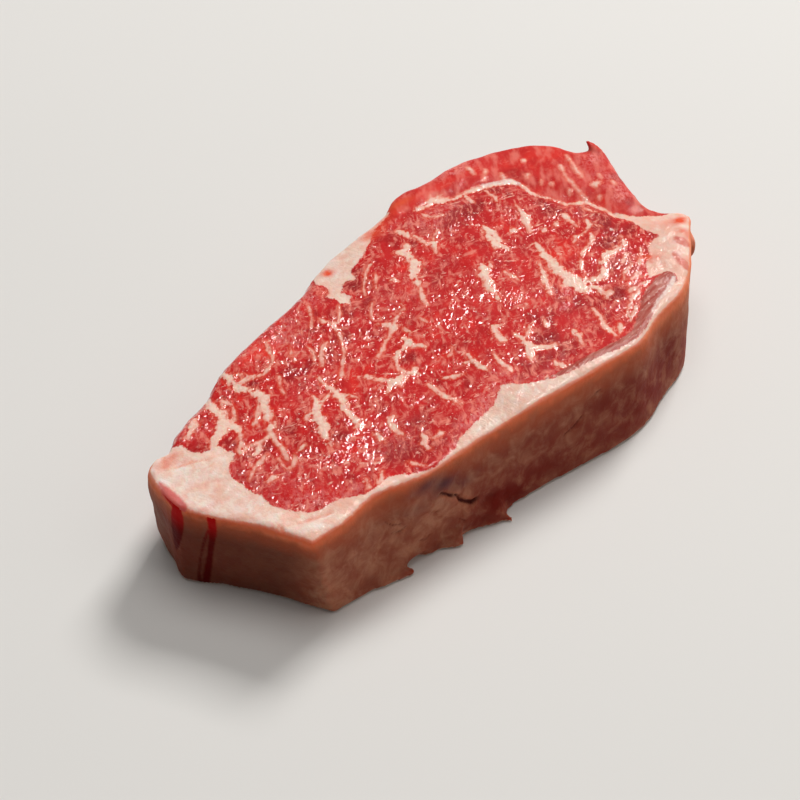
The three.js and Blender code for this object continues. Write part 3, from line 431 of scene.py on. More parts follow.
def to_line(px, py, a, b):
    """Distance from points to the segment a-b, and how far along it they lie, from 0 to 1."""
    ex, ey = b[0] - a[0], b[1] - a[1]
    t = np.clip(((px - a[0]) * ex + (py - a[1]) * ey) / max(ex * ex + ey * ey, 1e-9), 0.0, 1.0)
    return np.hypot(px - a[0] - t * ex, py - a[1] - t * ey), t


def to_outline(px, py, outline):
    """Signed distance to a closed outline, negative inside."""
    nearest = np.full(len(px), 1e9)
    inside = np.zeros(len(px), bool)
    for a, b in zip(outline, outline[1:] + outline[:1]):
        nearest = np.minimum(nearest, to_line(px, py, a, b)[0])
        crosses = (a[1] > py) != (b[1] > py)
        run = (b[0] - a[0]) * (py - a[1]) / ((b[1] - a[1]) or 1e-9) + a[0]
        inside ^= crosses & (px < run)
    return np.where(inside, -nearest, nearest)


def to_strokes(px, py, strokes, far=FAR):
    """Signed distance to brush strokes of changing width, negative inside, at most `far`."""
    return strokes_and_girth(px, py, strokes, far)[0]


def strokes_and_girth(px, py, strokes, far=FAR):
    """The signed distance to the strokes, and the width of the nearest one."""
    nearest = np.full(len(px), far)
    girth = np.zeros(len(px))
    for stroke in strokes:
        xs, ys = [s[0] for s in stroke], [s[1] for s in stroke]
        near = np.flatnonzero(
            (px > min(xs) - far) & (px < max(xs) + far) & (py > min(ys) - far) & (py < max(ys) + far)
        )
        if not len(near):
            continue
        qx, qy = px[near], py[near]
        for a, b in zip(stroke, stroke[1:]):
            d, t = to_line(qx, qy, a, b)
            width = a[2] + (b[2] - a[2]) * t
            closer = d - 0.5 * width < nearest[near]
            girth[near[closer]] = width[closer]
            nearest[near[closer]] = (d - 0.5 * width)[closer]
    return nearest, girth


def patches(px, py, spots):
    """Sum of soft round patches, each with its place, reaches and amount."""
    total = np.zeros(len(px))
    for x, y, rx, ry, amount in spots:
        total += amount * np.exp(-(((px - x) / rx) ** 2) - ((py - y) / ry) ** 2)
    return total


# ---------------------------------------------------------------- the flesh
def show(name, data):
    """A new object of this data, in the scene."""
    made = bpy.data.objects.new(name, data)
    bpy.context.scene.collection.objects.link(made)
    return made


def remeshed_solid():
    """A fine, even mesh of the steak's own solid."""
    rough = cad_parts["steak"].data.copy()
    bm = bmesh.new()
    bm.from_mesh(rough)
    bmesh.ops.remove_doubles(bm, verts=bm.verts, dist=2e-6)
    bm.to_mesh(rough)
    bm.free()
    carrier = show("carrier", rough)
    remesh = carrier.modifiers.new("remesh", "REMESH")
    remesh.mode = "VOXEL"
    remesh.voxel_size = VOXEL * MM
    bpy.context.view_layer.update()
    mesh = bpy.data.meshes.new_from_object(carrier.evaluated_get(bpy.context.evaluated_depsgraph_get()))
    bpy.data.objects.remove(carrier)
    return mesh


class Skin:
    """The mesh as arrays, in millimetres."""

    def __init__(self, mesh):
        self.points = self.read(mesh.vertices, "co", 3, float).reshape(-1, 3) / MM
        self.a, self.b = self.read(mesh.edges, "vertices", 2).reshape(-1, 2).T
        count = len(self.points)
        self.degree = np.bincount(self.a, minlength=count) + np.bincount(self.b, minlength=count)
        corners = self.read(mesh.loops, "vertex_index")
        starts = self.read(mesh.polygons, "loop_start")
        sizes = self.read(mesh.polygons, "loop_total")
        self.fans = []
        for k in range(1, sizes.max() - 1):
            start = starts[sizes > k + 1]
            self.fans.append((corners[start], corners[start + k], corners[start + k + 1]))

    @staticmethod
    def read(items, attribute, width=1, kind=np.int32):
        values = np.empty(len(items) * width, kind)
        items.foreach_get(attribute, values)
        return values

    def average(self, values):
        """Mean over each vertex's neighbours."""
        n = len(self.points)
        if values.ndim == 1:
            total = np.bincount(self.a, values[self.b], n) + np.bincount(self.b, values[self.a], n)
            return total / self.degree
        return np.stack([self.average(values[:, k]) for k in range(values.shape[1])], axis=1)

    def soften(self, values, rounds):
        for _ in range(rounds):
            values = 0.5 * values + 0.5 * self.average(values)
        return values

    def melt_facets(self, rounds):
        for _ in range(rounds):
            for share in (SMOOTH_IN, SMOOTH_OUT):
                self.points = self.points + share * (self.average(self.points) - self.points)

    def normals(self):
        total = np.zeros_like(self.points)
        for i, j, k in self.fans:
            face = np.cross(self.points[j] - self.points[i], self.points[k] - self.points[i])
            for corner in (i, j, k):
                for axis in range(3):
                    total[:, axis] += np.bincount(corner, face[:, axis], len(total))
        return total / np.maximum(np.linalg.norm(total, axis=1, keepdims=True), 1e-12)


def anatomy(points, normals):
    """The fields that say what each point of the skin is made of, and where painted sheen, shade and glow lie.
    """
    x, y, z = points.T
    up = normals[:, 2]
    down_in = np.clip(1.0 - z / FACE_HEIGHT, 0.0, 1.0)
    # the marbling runs through the slice at a slant and wanders, so the lower face differs from the upper one
    px = x + down_in * (3.4 + 3.0 * lattice_noise(points, 22.0, 1) + 5.0 * lattice_noise(points, 9.0, 15))
    py = y + down_in * (-1.2 + 3.0 * lattice_noise(points, 19.0, 2) + 2.0 * lattice_noise(points, 8.0, 16))

    wall = 1.0 - smoothstep(0.30, 0.78, np.abs(up))
    line_x, line_y, slope = CAP_LINE
    cap_side = smoothstep(1.5, -1.5, y - (line_y + slope * (x - line_x)))
    lean_edge = to_outline(px, py, LEAN)
    far_fat = to_outline(px, py, FAR_FAT)
    fat = np.minimum(-lean_edge, far_fat)
    ledge = smoothstep(27.0, 23.0, z) * smoothstep(-0.78, -0.45, up)
    outer = np.maximum(wall, ledge) * cap_side
    fat = fat * (1.0 - outer) + np.minimum(fat, -3.0) * outer
    fleck, girth = strokes_and_girth(px, py, FLECKS + [SEAM])
    f = {
        "wall": wall,
        "outer": outer,
        "fat": fat,
        "fleck": fleck + FAR * outer,
        "girth": girth,
        "gristle": to_outline(px, py, GRISTLE) + FAR * outer,
        "muscle": smoothstep(0.8, -1.2, to_outline(px, py, SMALL_MUSCLE)),
        "seam": to_strokes(px, py, [SEAM]),
        "tone": patches(px, py, TONES),
        "sheen": patches(px, py, SHEENS) * (1.0 - outer),
        "blush": patches(px, py, BLUSHES) * (1.0 - wall) * smoothstep(0.0, 0.6, up),
        "stain": patches(x, z, STAINS) * outer,
        "bruise": patches(x, z, BRUISES) * outer * (x > BRUISE_FROM_X),
    }
    near_wall = outer * smoothstep(-36.0, -40.0, y)
    end_wall = smoothstep(-80.0, -86.0, x)
    not_level = smoothstep(0.6, 0.0, up)
    f["juice"] = to_strokes(y, z, JUICE) + FAR * (1.0 - smoothstep(0.02, 0.4, wall) * end_wall)
    # thin lines, each with the two axes it is drawn in and the share by which it is absent
    for name, u, v, lines, absent in (
        ("fissure", x, z, [FISSURE], 1.0 - near_wall),
        ("cracks", x, z, CRACKS, 1.0 - near_wall),
        ("purge", x, y, [PURGE], smoothstep(28.6, 27.6, z)),
        ("folds", x, y, FOLDS, wall),
        ("peel", x, y, PEELS, not_level),
        ("ovals", x, y, OVALS, not_level),
    ):
        f[name] = to_strokes(u, v, lines, THIN_FAR) + THIN_FAR * absent
    f["stain"] += patches(y, z, END_STAINS) * outer * end_wall
    # where the painted shade of the tail's end wall lies
    f["tail"] = smoothstep(-77.5, -84.5, x) * outer
    f["pale"] = patches(x, y, PALES) * smoothstep(0.0, 0.6, up)
    f["sparkle"] = patches(px, py, SPARKLES) * (1.0 - wall)
    wrinkle = lattice_noise(points * (1.0, 1.0, 0.6), 5.5, 14)
    f["crease"] = np.exp(-((wrinkle / 0.12) ** 2)) * smoothstep(0.6, -0.3, fat)
    # where the painted glow along the crest lies, and how much lower the painted glow under the crest reaches
    # towards the chine end
    f["crest"] = cap_side * smoothstep(0.985, 0.70, up) * smoothstep(24.0, 27.0, z)
    f["glow_band_drop"] = -1.5 * smoothstep(40.0, 62.0, x)
    return f


def carve(skin, normals, f):
    """Relief along the normals: grain of the lean, proud flecks, furrows, and the cap's fissure."""
    p = skin.points
    x, y, z = p.T
    up = normals[:, 2]
    face = smoothstep(0.2, 0.7, up)
    under = smoothstep(-0.3, -0.8, up)
    lean = smoothstep(-0.3, 0.6, f["fat"])
    fleck = smoothstep(0.3, -0.4, f["fleck"]) * lean
    meat = lean * (1.0 - fleck) * (1.0 - smoothstep(0.3, -0.3, f["gristle"]))
    # the lean's fibres run across the slice, so their ends stand up in short ridges
    turn = radians(FIBRE_TURN)
    along = (x * cos(turn) + y * sin(turn)) / 2.2
    across = -x * sin(turn) + y * cos(turn)
    grain = np.stack([along, across, z], axis=1)
    relief = face * meat * (1.0 - 0.7 * f["muscle"]) * (
        0.05 * lattice_noise(grain, 1.6, 3) + 0.05 * lattice_noise(p, 3.6, 4)
    )
    relief += face * meat * f["muscle"] * (
        0.26 * lattice_noise(grain, 4.2, 5) + 0.07 * lattice_noise(grain, 1.9, 6)
    )
    relief += face * fleck * FLECK_RISE
    relief += face * (1.0 - lean) * (0.18 * lattice_noise(p, 6.5, 7) + 0.10 * lattice_noise(p, 2.6, 8))
    relief -= face * CREASE_DEPTH * f["crease"]
    relief -= face * FOLD_DEPTH * smoothstep(0.6, -0.4, f["folds"])
    relief -= face * FAT_EDGE_DEPTH * np.exp(-(f["fat"] ** 2))
    relief -= face * SEAM_DEPTH * np.exp(-((f["seam"] / 1.3) ** 2)) * (1.0 - smoothstep(86.0, 92.0, x))
    relief += face * GRISTLE_RISE * smoothstep(0.9, -1.2, f["gristle"])
    wall = f["outer"]
    relief += wall * (0.20 * lattice_noise(p * (1.0, 1.0, 0.45), 5.0, 9) + 0.09 * lattice_noise(p, 2.2, 10))
    relief += (f["wall"] - wall) * (0.28 * lattice_noise(p, 4.0, 11) + 0.12 * lattice_noise(p, 1.9, 12))
    relief -= wall * FISSURE_DEPTH * smoothstep(0.55, -0.55, f["fissure"])
    relief -= wall * CRACK_DEPTH * smoothstep(0.35, -0.25, f["cracks"])
    relief += under * 0.10 * lattice_noise(p, 3.0, 13)
    skin.points = p + normals * relief[:, None]
    skin.points[:, 2] = np.maximum(skin.points[:, 2], 0.0)


# ---------------------------------------------------------------- the look
def colour(red, green, blue):
    """An sRGB colour from 0-255 as Blender's linear one."""
    def linear(v):
        v /= 255.0
        return v / 12.92 if v <= 0.04045 else ((v + 0.055) / 1.055) ** 2.4
    return (linear(red), linear(green), linear(blue), 1.0)


LEAN_DEEP = colour(148, 18, 22)
LEAN_DARK = colour(160, 22, 26)
LEAN_MID = colour(200, 30, 31)
LEAN_BRIGHT = colour(230, 48, 38)
MUSCLE_RED = colour(198, 54, 48)
MUSCLE_PINK = colour(234, 134, 120)
SHEEN_AND_FILM_PINK = colour(234, 150, 146)
STROKE_PINK = colour(236, 138, 122)
THREAD = colour(246, 180, 162)
FLECK_CREAM = colour(242, 210, 194)
FAT_CREAM = colour(243, 219, 207)
FAT_PEACH = colour(237, 194, 177)
FAT_PALE = colour(244, 230, 221)
FAT_VEIN = colour(236, 168, 148)
FAT_SHADED = colour(206, 176, 160)
FOLD_PINK = colour(236, 150, 122)
OVAL_TAN = colour(206, 96, 80)
GRISTLE_PINK = colour(166, 62, 52)
BLUSH_ORANGE = colour(224, 84, 54)
GLOW_DEEP = colour(190, 92, 60)
GLOW_ORANGE = colour(236, 124, 84)
WALL_TAN = colour(190, 126, 98)
WALL_BROWN = colour(152, 80, 60)
WALL_RED = colour(120, 30, 20)
BRUISE_PURPLE = colour(92, 56, 66)
JUICE_RED = colour(196, 10, 10)
JUICE_DARK = colour(94, 4, 2)
PURGE_PINK = colour(214, 96, 94)
END_WALL_SHADE = colour(114, 60, 43)
FISSURE_SHADE = colour(84, 22, 16)

LEAN_ROUGHNESS, FAT_ROUGHNESS = 0.45, 0.6
LEAN_SUBSURFACE, FAT_SUBSURFACE = 0.45, 1.0
SPECULAR = 0.05
COAT_ROUGHNESS = 0.05
SUBSURFACE_RADIUS = (2.6, 1.0, 0.65)
BLOTCH_STRETCH = (2.6, 1.0, 1.6)    # how much longer the pale blotches are along their direction, x, y and z


class Nodes:
    """Short forms for building one material's nodes."""

    def __init__(self, name):
        self.material = bpy.data.materials.new(name)
        self.material.use_nodes = True
        self.tree = self.material.node_tree
        self.tree.nodes.clear()

    def put(self, value, socket):
        if isinstance(value, bpy.types.NodeSocket):
            self.tree.links.new(value, socket)
        else:
            socket.default_value = value

    def node(self, kind, **settings):
        made = self.tree.nodes.new(kind)
        for name, value in settings.items():
            setattr(made, name, value)
        return made

    def field(self, name):
        return self.node("ShaderNodeAttribute", attribute_name=name).outputs["Fac"]

    def math(self, operation, a, b=0.0, clamp=False):
        made = self.node("ShaderNodeMath", operation=operation, use_clamp=clamp)
        self.put(a, made.inputs[0])
        self.put(b, made.inputs[1])
        return made.outputs[0]

    def times(self, *values):
        total = values[0]
        for value in values[1:]:
            total = self.math("MULTIPLY", total, value)
        return total

    def plus(self, *values):
        total = values[0]
        for value in values[1:]:
            total = self.math("ADD", total, value)
        return total

    def rest(self, value):
        return self.math("SUBTRACT", 1.0, value, clamp=True)

    def step(self, value, low, high):
        made = self.node("ShaderNodeMapRange", interpolation_type="SMOOTHSTEP")
        self.put(value, made.inputs["Value"])
        made.inputs["From Min"].default_value = low
        made.inputs["From Max"].default_value = high
        return made.outputs["Result"]

    def mix(self, share, a, b):
        made = self.node("ShaderNodeMix", data_type="RGBA", clamp_factor=True)
        self.put(share, made.inputs[0])
        self.put(a, made.inputs[6])
        self.put(b, made.inputs[7])
        return made.outputs[2]

    def over(self, below, above, *shares):
        """One colour laid over another, in the product of the shares."""
        return self.mix(self.times(*shares), below, above)

    def blend(self, share, a, b):
        made = self.node("ShaderNodeMix", data_type="FLOAT", clamp_factor=True)
        self.put(share, made.inputs[0])
        self.put(a, made.inputs[2])
        self.put(b, made.inputs[3])
        return made.outputs[0]

    def noise(self, vector, size, detail=2.0, roughness=0.5, distortion=0.0):
        """Noise about 0, from about -0.5 to 0.5, with lumps `size` millimetres across."""
        made = self.node("ShaderNodeTexNoise", noise_dimensions="3D")
        self.put(vector, made.inputs["Vector"])
        made.inputs["Scale"].default_value = 1.0 / size
        made.inputs["Detail"].default_value = detail
        made.inputs["Roughness"].default_value = roughness
        made.inputs["Distortion"].default_value = distortion
        return self.math("SUBTRACT", made.outputs[0], 0.5)

    def ragged(self, name, at, size, amount, low, high, detail=2.0, roughness=0.5):
        """A step over a field whose edge is torn by noise of this size and amount."""
        tear = self.times(self.noise(at, size, detail, roughness), amount)
        return self.step(self.plus(self.field(name), tear), low, high)

    def warped(self, vector, size, amount):
        """The vector pushed about by up to some `amount` in waves of this size."""
        made = self.node("ShaderNodeTexNoise", noise_dimensions="3D")
        self.put(vector, made.inputs["Vector"])
        made.inputs["Scale"].default_value = 1.0 / size
        made.inputs["Detail"].default_value = 1.0
        push = self.node("ShaderNodeVectorMath", operation="MULTIPLY_ADD")
        self.put(made.outputs["Color"], push.inputs[0])
        push.inputs[1].default_value = (amount, amount, amount)
        self.put(vector, push.inputs[2])
        return push.outputs[0]

    def stretched(self, vector, turn, scale):
        made = self.node("ShaderNodeMapping", vector_type="TEXTURE")
        self.put(vector, made.inputs["Vector"])
        made.inputs["Rotation"].default_value = (0.0, 0.0, radians(turn))
        made.inputs["Scale"].default_value = scale
        return made.outputs["Vector"]

    def surface(self, inputs):
        """The finished material: one principled shader with these inputs."""
        shader = self.node("ShaderNodeBsdfPrincipled")
        for name, value in inputs.items():
            self.put(value, shader.inputs[name])
        out = self.node("ShaderNodeOutputMaterial")
        self.put(shader.outputs["BSDF"], out.inputs["Surface"])
        return self.material


def fine_marbling(n, at, lean, calm):
    """Soft pink blotches, thin threads, crumbs and specks of fat that show between the flecks, in patches; the
    cream specks also stand in for painted glints.
    """
    patchy = n.noise(at, 5.0, 3.0)
    bent = n.warped(at, 6.0, 4.0)
    along = n.stretched(bent, FIBRE_TURN, BLOTCH_STRETCH)
    slanting = n.stretched(bent, FIBRE_TURN + CROSS_TURN, BLOTCH_STRETCH)
    blotches = n.times(n.step(n.noise(along, 1.3, 2.5, 0.6), -0.03, 0.19), n.step(patchy, -0.24, 0.08))
    smears = n.step(n.noise(slanting, 1.9, 2.5, 0.6), 0.01, 0.21)
    smears = n.times(smears, n.step(n.noise(at, 4.0), -0.14, 0.12))
    long_along = n.stretched(bent, FIBRE_TURN, (3.6, 1.0, 2.0))
    long_across = n.stretched(bent, FIBRE_TURN + CROSS_TURN, (3.4, 1.0, 2.0))
    threads = n.step(n.noise(long_along, 0.9, 2.5, 0.6), 0.14, 0.26)
    threads = n.times(threads, n.step(n.noise(at, 5.5), -0.08, 0.1))
    hairs = n.step(n.noise(long_across, 0.9, 2.5, 0.6), 0.14, 0.26)
    hairs = n.times(hairs, n.step(n.noise(at, 4.1), -0.04, 0.12))
    crumby = n.plus(patchy, n.times(n.field("sheen"), 0.2))
    crumbs = n.times(n.step(n.noise(slanting, 1.5, 3.0, 0.6), 0.11, 0.21), n.step(crumby, -0.14, 0.06))
    specks_and_glints = n.times(n.step(n.noise(at, 0.8, 1.0, 0.5), 0.14, 0.24), n.step(n.noise(at, 3.4), -0.04, 0.14))
    lean = n.over(lean, STROKE_PINK, blotches, calm, 0.9)
    lean = n.over(lean, STROKE_PINK, smears, calm, 0.8)
    lean = n.over(lean, THREAD, n.math("MAXIMUM", threads, hairs), calm, 0.6)
    lean = n.over(lean, THREAD, crumbs, calm, 0.9)
    # cream specks of fat, partly painted glints
    return n.over(lean, FLECK_CREAM, specks_and_glints, calm, 0.6)


def lean_colour(n, at, fibre, muscle):
    """Red of the lean: tone in broad patches, then bundles of fibre, then a painted pink sheen and fine
    marbling.
    """
    broad = n.noise(at, 8.0)
    bundle = n.noise(fibre, 3.0, 1.0)
    tone = n.plus(n.times(n.field("tone"), 1.1), n.times(broad, 1.9), n.times(bundle, 1.6))
    lean = n.mix(n.step(tone, -1.0, 0.1), LEAN_DARK, LEAN_MID)
    lean = n.mix(n.step(tone, -0.9, -1.7), lean, LEAN_DEEP)
    lean = n.mix(n.step(tone, 0.0, 1.1), lean, LEAN_BRIGHT)
    lean = n.over(lean, MUSCLE_RED, muscle, n.step(tone, -2.0, 0.4), 0.5)
    grain = n.step(n.plus(n.noise(fibre, 0.8, 3.0, 0.7), n.times(n.noise(at, 2.2), 0.6)), -0.14, 0.2)
    # painted sheen: pink and lilac reflection of the wet face, broken into specks by the grain
    lean = n.over(lean, SHEEN_AND_FILM_PINK, n.field("sheen"), grain, 0.8)
    lean = fine_marbling(n, at, lean, n.rest(n.times(muscle, 0.85)))
    coarse = n.noise(n.stretched(at, FIBRE_TURN, BLOTCH_STRETCH), 3.0, 2.0)
    return n.over(lean, MUSCLE_PINK, muscle, n.step(coarse, -0.06, 0.2), 0.6)


def fat_colour(n, at, split_x, fat_edge):
    """Cream of the cut fat, with peach clouds, pale veins and a pinker margin towards the lean."""
    clouds = n.noise(at, 4.5, 2.5, 0.6, 0.4)
    veins = n.noise(n.stretched(at, 20.0, (2.0, 1.0, 1.0)), 2.6, 2.5, 0.6)
    cream = n.mix(n.step(clouds, -0.14, 0.14), FAT_CREAM, FAT_PEACH)
    cream = n.over(cream, FAT_PALE, n.step(veins, -0.02, 0.26), 0.85)
    cream = n.over(cream, FAT_VEIN, n.field("crease"), n.step(n.noise(at, 3.0, 1.0), -0.1, 0.2), 0.6)
    cream = n.over(cream, FAT_VEIN, n.step(n.noise(at, 7.0, 3.0, 0.6, 0.5), 0.0, 0.22), 0.45)
    # painted shade: the cut fat darker from x = -45 mm towards the chine end
    cream = n.over(cream, FAT_SHADED, n.step(split_x, -45.0, -5.0), 0.3)
    pinker = n.times(n.step(split_x, 48.0, 74.0), n.step(n.noise(at, 3.2, 3.0, 0.6), -0.26, 0.14))
    cream = n.over(cream, FAT_VEIN, pinker, 0.65)
    fold = n.ragged("folds", at, 1.2, 0.7, 0.7, -0.5)
    cream = n.over(cream, FOLD_PINK, fold, 0.75)
    oval = n.ragged("ovals", at, 1.4, 0.7, 0.5, -0.4)
    cream = n.over(cream, OVAL_TAN, oval, n.plus(0.78, n.noise(at, 2.4, 1.0)))
    # pale patches: peel beside the folds, and partly painted highlight at the tail's end and the chine end
    cream = n.over(cream, FAT_PALE, n.field("pale"), 0.8)
    return n.over(cream, FAT_PEACH, n.step(fat_edge, -1.8, -0.1), 0.5)


def gristle_colour(n, at):
    """Warm pink of the silverskin, with paler translucent strands along it and a painted satin highlight in
    pale streaks.
    """
    strands = n.noise(n.stretched(at, 12.0, (5.0, 1.0, 2.0)), 1.1, 3.0, 0.6)
    painted_shine = n.noise(n.stretched(at, 15.0, (4.0, 1.0, 2.0)), 0.8, 2.0, 0.6)
    pink = n.over(GRISTLE_PINK, FAT_PEACH, n.step(strands, -0.2, 0.25), 0.38)
    # painted satin highlight in pale streaks
    return n.over(pink, FAT_PALE, n.step(painted_shine, 0.1, 0.24), 0.4)


def wall_colour(n, at, height_here):
    """Skin of the fat cap: tan and brown blotches painted darker as shade of the wall, painted shade on the
    tail's end wall, red stains, a bruise, and a painted orange glow of light through the fat under the crest.
    """
    mottle = n.noise(at, 5.0, 4.0, 0.6, 0.5)
    # tan and brown are the cap's own blotches, painted darker than the fat's colour as shade of the wall
    skin = n.mix(n.step(mottle, -0.2, 0.2), WALL_TAN, WALL_BROWN)
    # painted shade: the tail's end wall darker brown
    skin = n.over(skin, END_WALL_SHADE, n.field("tail"), 0.9)
    wrinkle = n.noise(n.stretched(at, 0.0, (2.4, 2.4, 1.0)), 1.6, 3.0, 0.65)
    skin = n.over(skin, WALL_RED, n.step(wrinkle, 0.05, 0.3), 0.3)
    skin = n.over(skin, WALL_RED, n.field("stain"), n.step(mottle, -0.5, 0.1), 0.85)
    skin = n.over(skin, BRUISE_PURPLE, n.field("bruise"), 0.8)
    # painted glow: light through the fat shows orange in a band under the crest, reaching lower towards the
    # chine end
    ragged = n.plus(height_here, n.times(mottle, 5.0), n.times(n.field("glow_band_drop"), -1.0))
    unbruised = n.rest(n.field("bruise"))
    skin = n.over(skin, GLOW_DEEP, n.step(ragged, 19.5, 27.5), unbruised, 0.7)
    return n.over(skin, GLOW_ORANGE, n.step(ragged, 25.5, 29.5), unbruised, 0.92)


def flesh_material():
    n = Nodes("raw_beef_flesh")
    place = n.node("ShaderNodeVectorMath", operation="SCALE")
    n.put(n.node("ShaderNodeTexCoord").outputs["Object"], place.inputs[0])
    place.inputs["Scale"].default_value = 1.0 / MM
    at = place.outputs[0]
    split = n.node("ShaderNodeSeparateXYZ")
    n.put(at, split.inputs[0])
    height_here = split.outputs["Z"]
    fibre = n.stretched(at, FIBRE_TURN, (2.0, 1.0, 1.6))
    wet = n.stretched(at, FIBRE_TURN, (1.35, 1.0, 1.2))
    outer, fat, muscle = n.field("outer"), n.field("fat"), n.field("muscle")

    lean = lean_colour(n, at, fibre, muscle)

    # flecks and seam, with edges that run out along the fibres, softer in the small muscle
    spikes = n.noise(n.stretched(at, FIBRE_TURN, (3.6, 1.0, 1.6)), 0.9, 1.5)
    barbs = n.noise(n.stretched(at, FIBRE_TURN + CROSS_TURN, (3.0, 1.0, 1.6)), 1.0, 1.5)
    tear = n.plus(n.times(spikes, 2.3), n.times(barbs, 1.8), n.times(n.noise(at, 2.8, 1.0), 3.0))
    tear = n.times(tear, n.blend(n.step(n.field("girth"), 0.4, 2.4), 0.35, 1.0))
    edge = n.plus(n.field("fleck"), tear)
    fleck_share = n.blend(muscle, n.step(edge, 0.42, -0.32), n.times(n.step(edge, 0.9, -0.9), 0.8))
    fleck_colour = n.mix(n.step(n.noise(at, 1.2, 3.0, 0.6), -0.16, 0.14), FAT_PEACH, FLECK_CREAM)
    fleck_colour = n.over(fleck_colour, STROKE_PINK, n.step(edge, -0.9, -0.1), 0.45)
    lean = n.over(lean, BLUSH_ORANGE, n.step(edge, 1.1, 0.0), 0.55)
    lean = n.mix(fleck_share, lean, fleck_colour)

    peel = n.ragged("peel", at, 1.2, 0.8, 0.4, -0.4)
    gristle_share = n.ragged("gristle", at, 1.2, 1.4, 0.25, -0.3, 3.0)
    lean = n.mix(gristle_share, lean, gristle_colour(n, at))
    lean = n.over(lean, FAT_PALE, peel, n.plus(0.6, n.noise(at, 1.1)))

    fat_edge = n.plus(fat, n.times(n.noise(fibre, 1.2, 3.0, 0.65), 1.9), n.times(n.noise(at, 0.5), 0.6))
    fat_share = n.step(fat_edge, 0.3, -0.25)
    flesh = n.mix(fat_share, lean, fat_colour(n, at, split.outputs["X"], fat_edge))
    blush = n.times(n.field("blush"), n.plus(1.0, n.times(n.noise(at, 2.0, 3.0), 1.2)))
    flesh = n.over(flesh, BLUSH_ORANGE, blush, 0.8)

    # painted glow of light through the fat along the crest
    painted_crest_glow = n.ragged("crest", at, 4.0, 0.7, 0.35, 1.0, 3.0, 0.6)
    flesh = n.over(flesh, GLOW_ORANGE, painted_crest_glow, 0.7)
    flesh = n.mix(outer, flesh, wall_colour(n, at, height_here))
    fissure = n.ragged("fissure", at, 1.0, 0.6, 0.35, -0.35)
    cracks = n.ragged("cracks", at, 0.8, 0.5, 0.3, -0.3)
    # painted shade in the fissure, and fainter in the cracks
    flesh = n.over(flesh, FISSURE_SHADE, outer, n.math("MAXIMUM", fissure, n.times(cracks, 0.7)))
    purge = n.ragged("purge", at, 1.5, 1.2, 0.5, -0.6, 3.0)
    flesh = n.over(flesh, PURGE_PINK, purge, 0.85)

    # the lean's own wall carries a thin torn film
    bare = n.math("SUBTRACT", n.field("wall"), outer, clamp=True)
    film = n.times(bare, n.step(n.noise(n.stretched(at, 0.0, (2.4, 2.4, 1.0)), 3.6, 3.0, 0.6), -0.06, 0.26))
    flesh = n.over(flesh, LEAN_DARK, bare, 0.35)
    flesh = n.over(flesh, SHEEN_AND_FILM_PINK, film, 0.5)
    juice = n.ragged("juice", at, 1.2, 0.4, 0.25, -0.45)
    flesh = n.mix(juice, flesh, n.mix(n.step(height_here, 18.0, 28.5), JUICE_DARK, JUICE_RED))

    # wet relief, in millimetres: beads that catch the light, dense in lively patches and few in calm ones
    fatty_fleck = n.times(fleck_share, n.blend(muscle, 0.7, 1.0))
    fatty = n.math("MAXIMUM", fat_share, n.math("MAXIMUM", fatty_fleck, outer))
    sparkle = n.field("sparkle")
    uneven = n.plus(n.noise(at, 6.0, 2.0, 0.6), n.times(n.noise(at, 2.2, 1.0), 0.5), n.times(sparkle, 0.3))
    lively = n.step(uneven, -0.04, 0.2)
    chine_side = n.step(split.outputs["X"], 10.0, 50.0)
    small_bead = n.times(n.noise(wet, 1.0, 1.0, 0.4), 0.75)
    bead = n.times(n.blend(chine_side, n.noise(wet, 1.45, 1.0, 0.4), small_bead), 0.62)
    bead = n.plus(bead, n.times(n.noise(fibre, 0.7), 0.12))
    # towards the tail the lamps stand further from the mirror direction, so the beads are steeper there
    steeper = n.blend(n.step(split.outputs["X"], 40.0, -60.0), 0.9, 1.5)
    strength = n.plus(0.14, n.times(lively, n.plus(0.8, n.times(sparkle, 0.5))))
    beads = n.times(bead, strength, steeper, n.rest(n.times(muscle, 0.7)))
    rough_lean = n.plus(beads, n.times(n.noise(at, 3.0, 1.0), 0.05))
    rough_fat = n.plus(n.times(n.noise(at, 2.6, 3.0, 0.6), 0.45), n.times(n.noise(at, 0.6), 0.03))
    bump = n.node("ShaderNodeBump")
    bump.inputs["Strength"].default_value = 1.0
    bump.inputs["Distance"].default_value = MM
    n.put(n.blend(fatty, rough_lean, rough_fat), bump.inputs["Height"])

    wetness = n.times(n.rest(n.times(muscle, 0.9)), n.rest(n.times(n.step(fat, 2.6, 0.6), 0.6)))
    by_seam = n.times(muscle, n.step(n.field("seam"), 4.0, 1.0))
    wetness = n.times(wetness, n.rest(n.times(gristle_share, 0.8)), n.rest(by_seam))
    dry = n.times(n.blend(n.step(sparkle, -1.0, -0.1), 0.1, 1.0), n.blend(chine_side, 1.0, 0.9))
    wetness = n.times(wetness, dry)
    coat = n.blend(fatty, wetness, n.blend(outer, 0.25, 0.03))
    return n.surface({
        "Base Color": flesh,
        "Roughness": n.blend(fatty, LEAN_ROUGHNESS, FAT_ROUGHNESS),
        "Specular IOR Level": SPECULAR,
        "Subsurface Weight": n.times(n.blend(fatty, LEAN_SUBSURFACE, FAT_SUBSURFACE), n.rest(juice)),
        "Subsurface Radius": SUBSURFACE_RADIUS,
        "Subsurface Scale": MM,
        "Coat Weight": n.times(coat, n.rest(juice)),
        "Coat Roughness": COAT_ROUGHNESS,
        "Normal": bump.outputs["Normal"],
        "Coat Normal": bump.outputs["Normal"],
    })


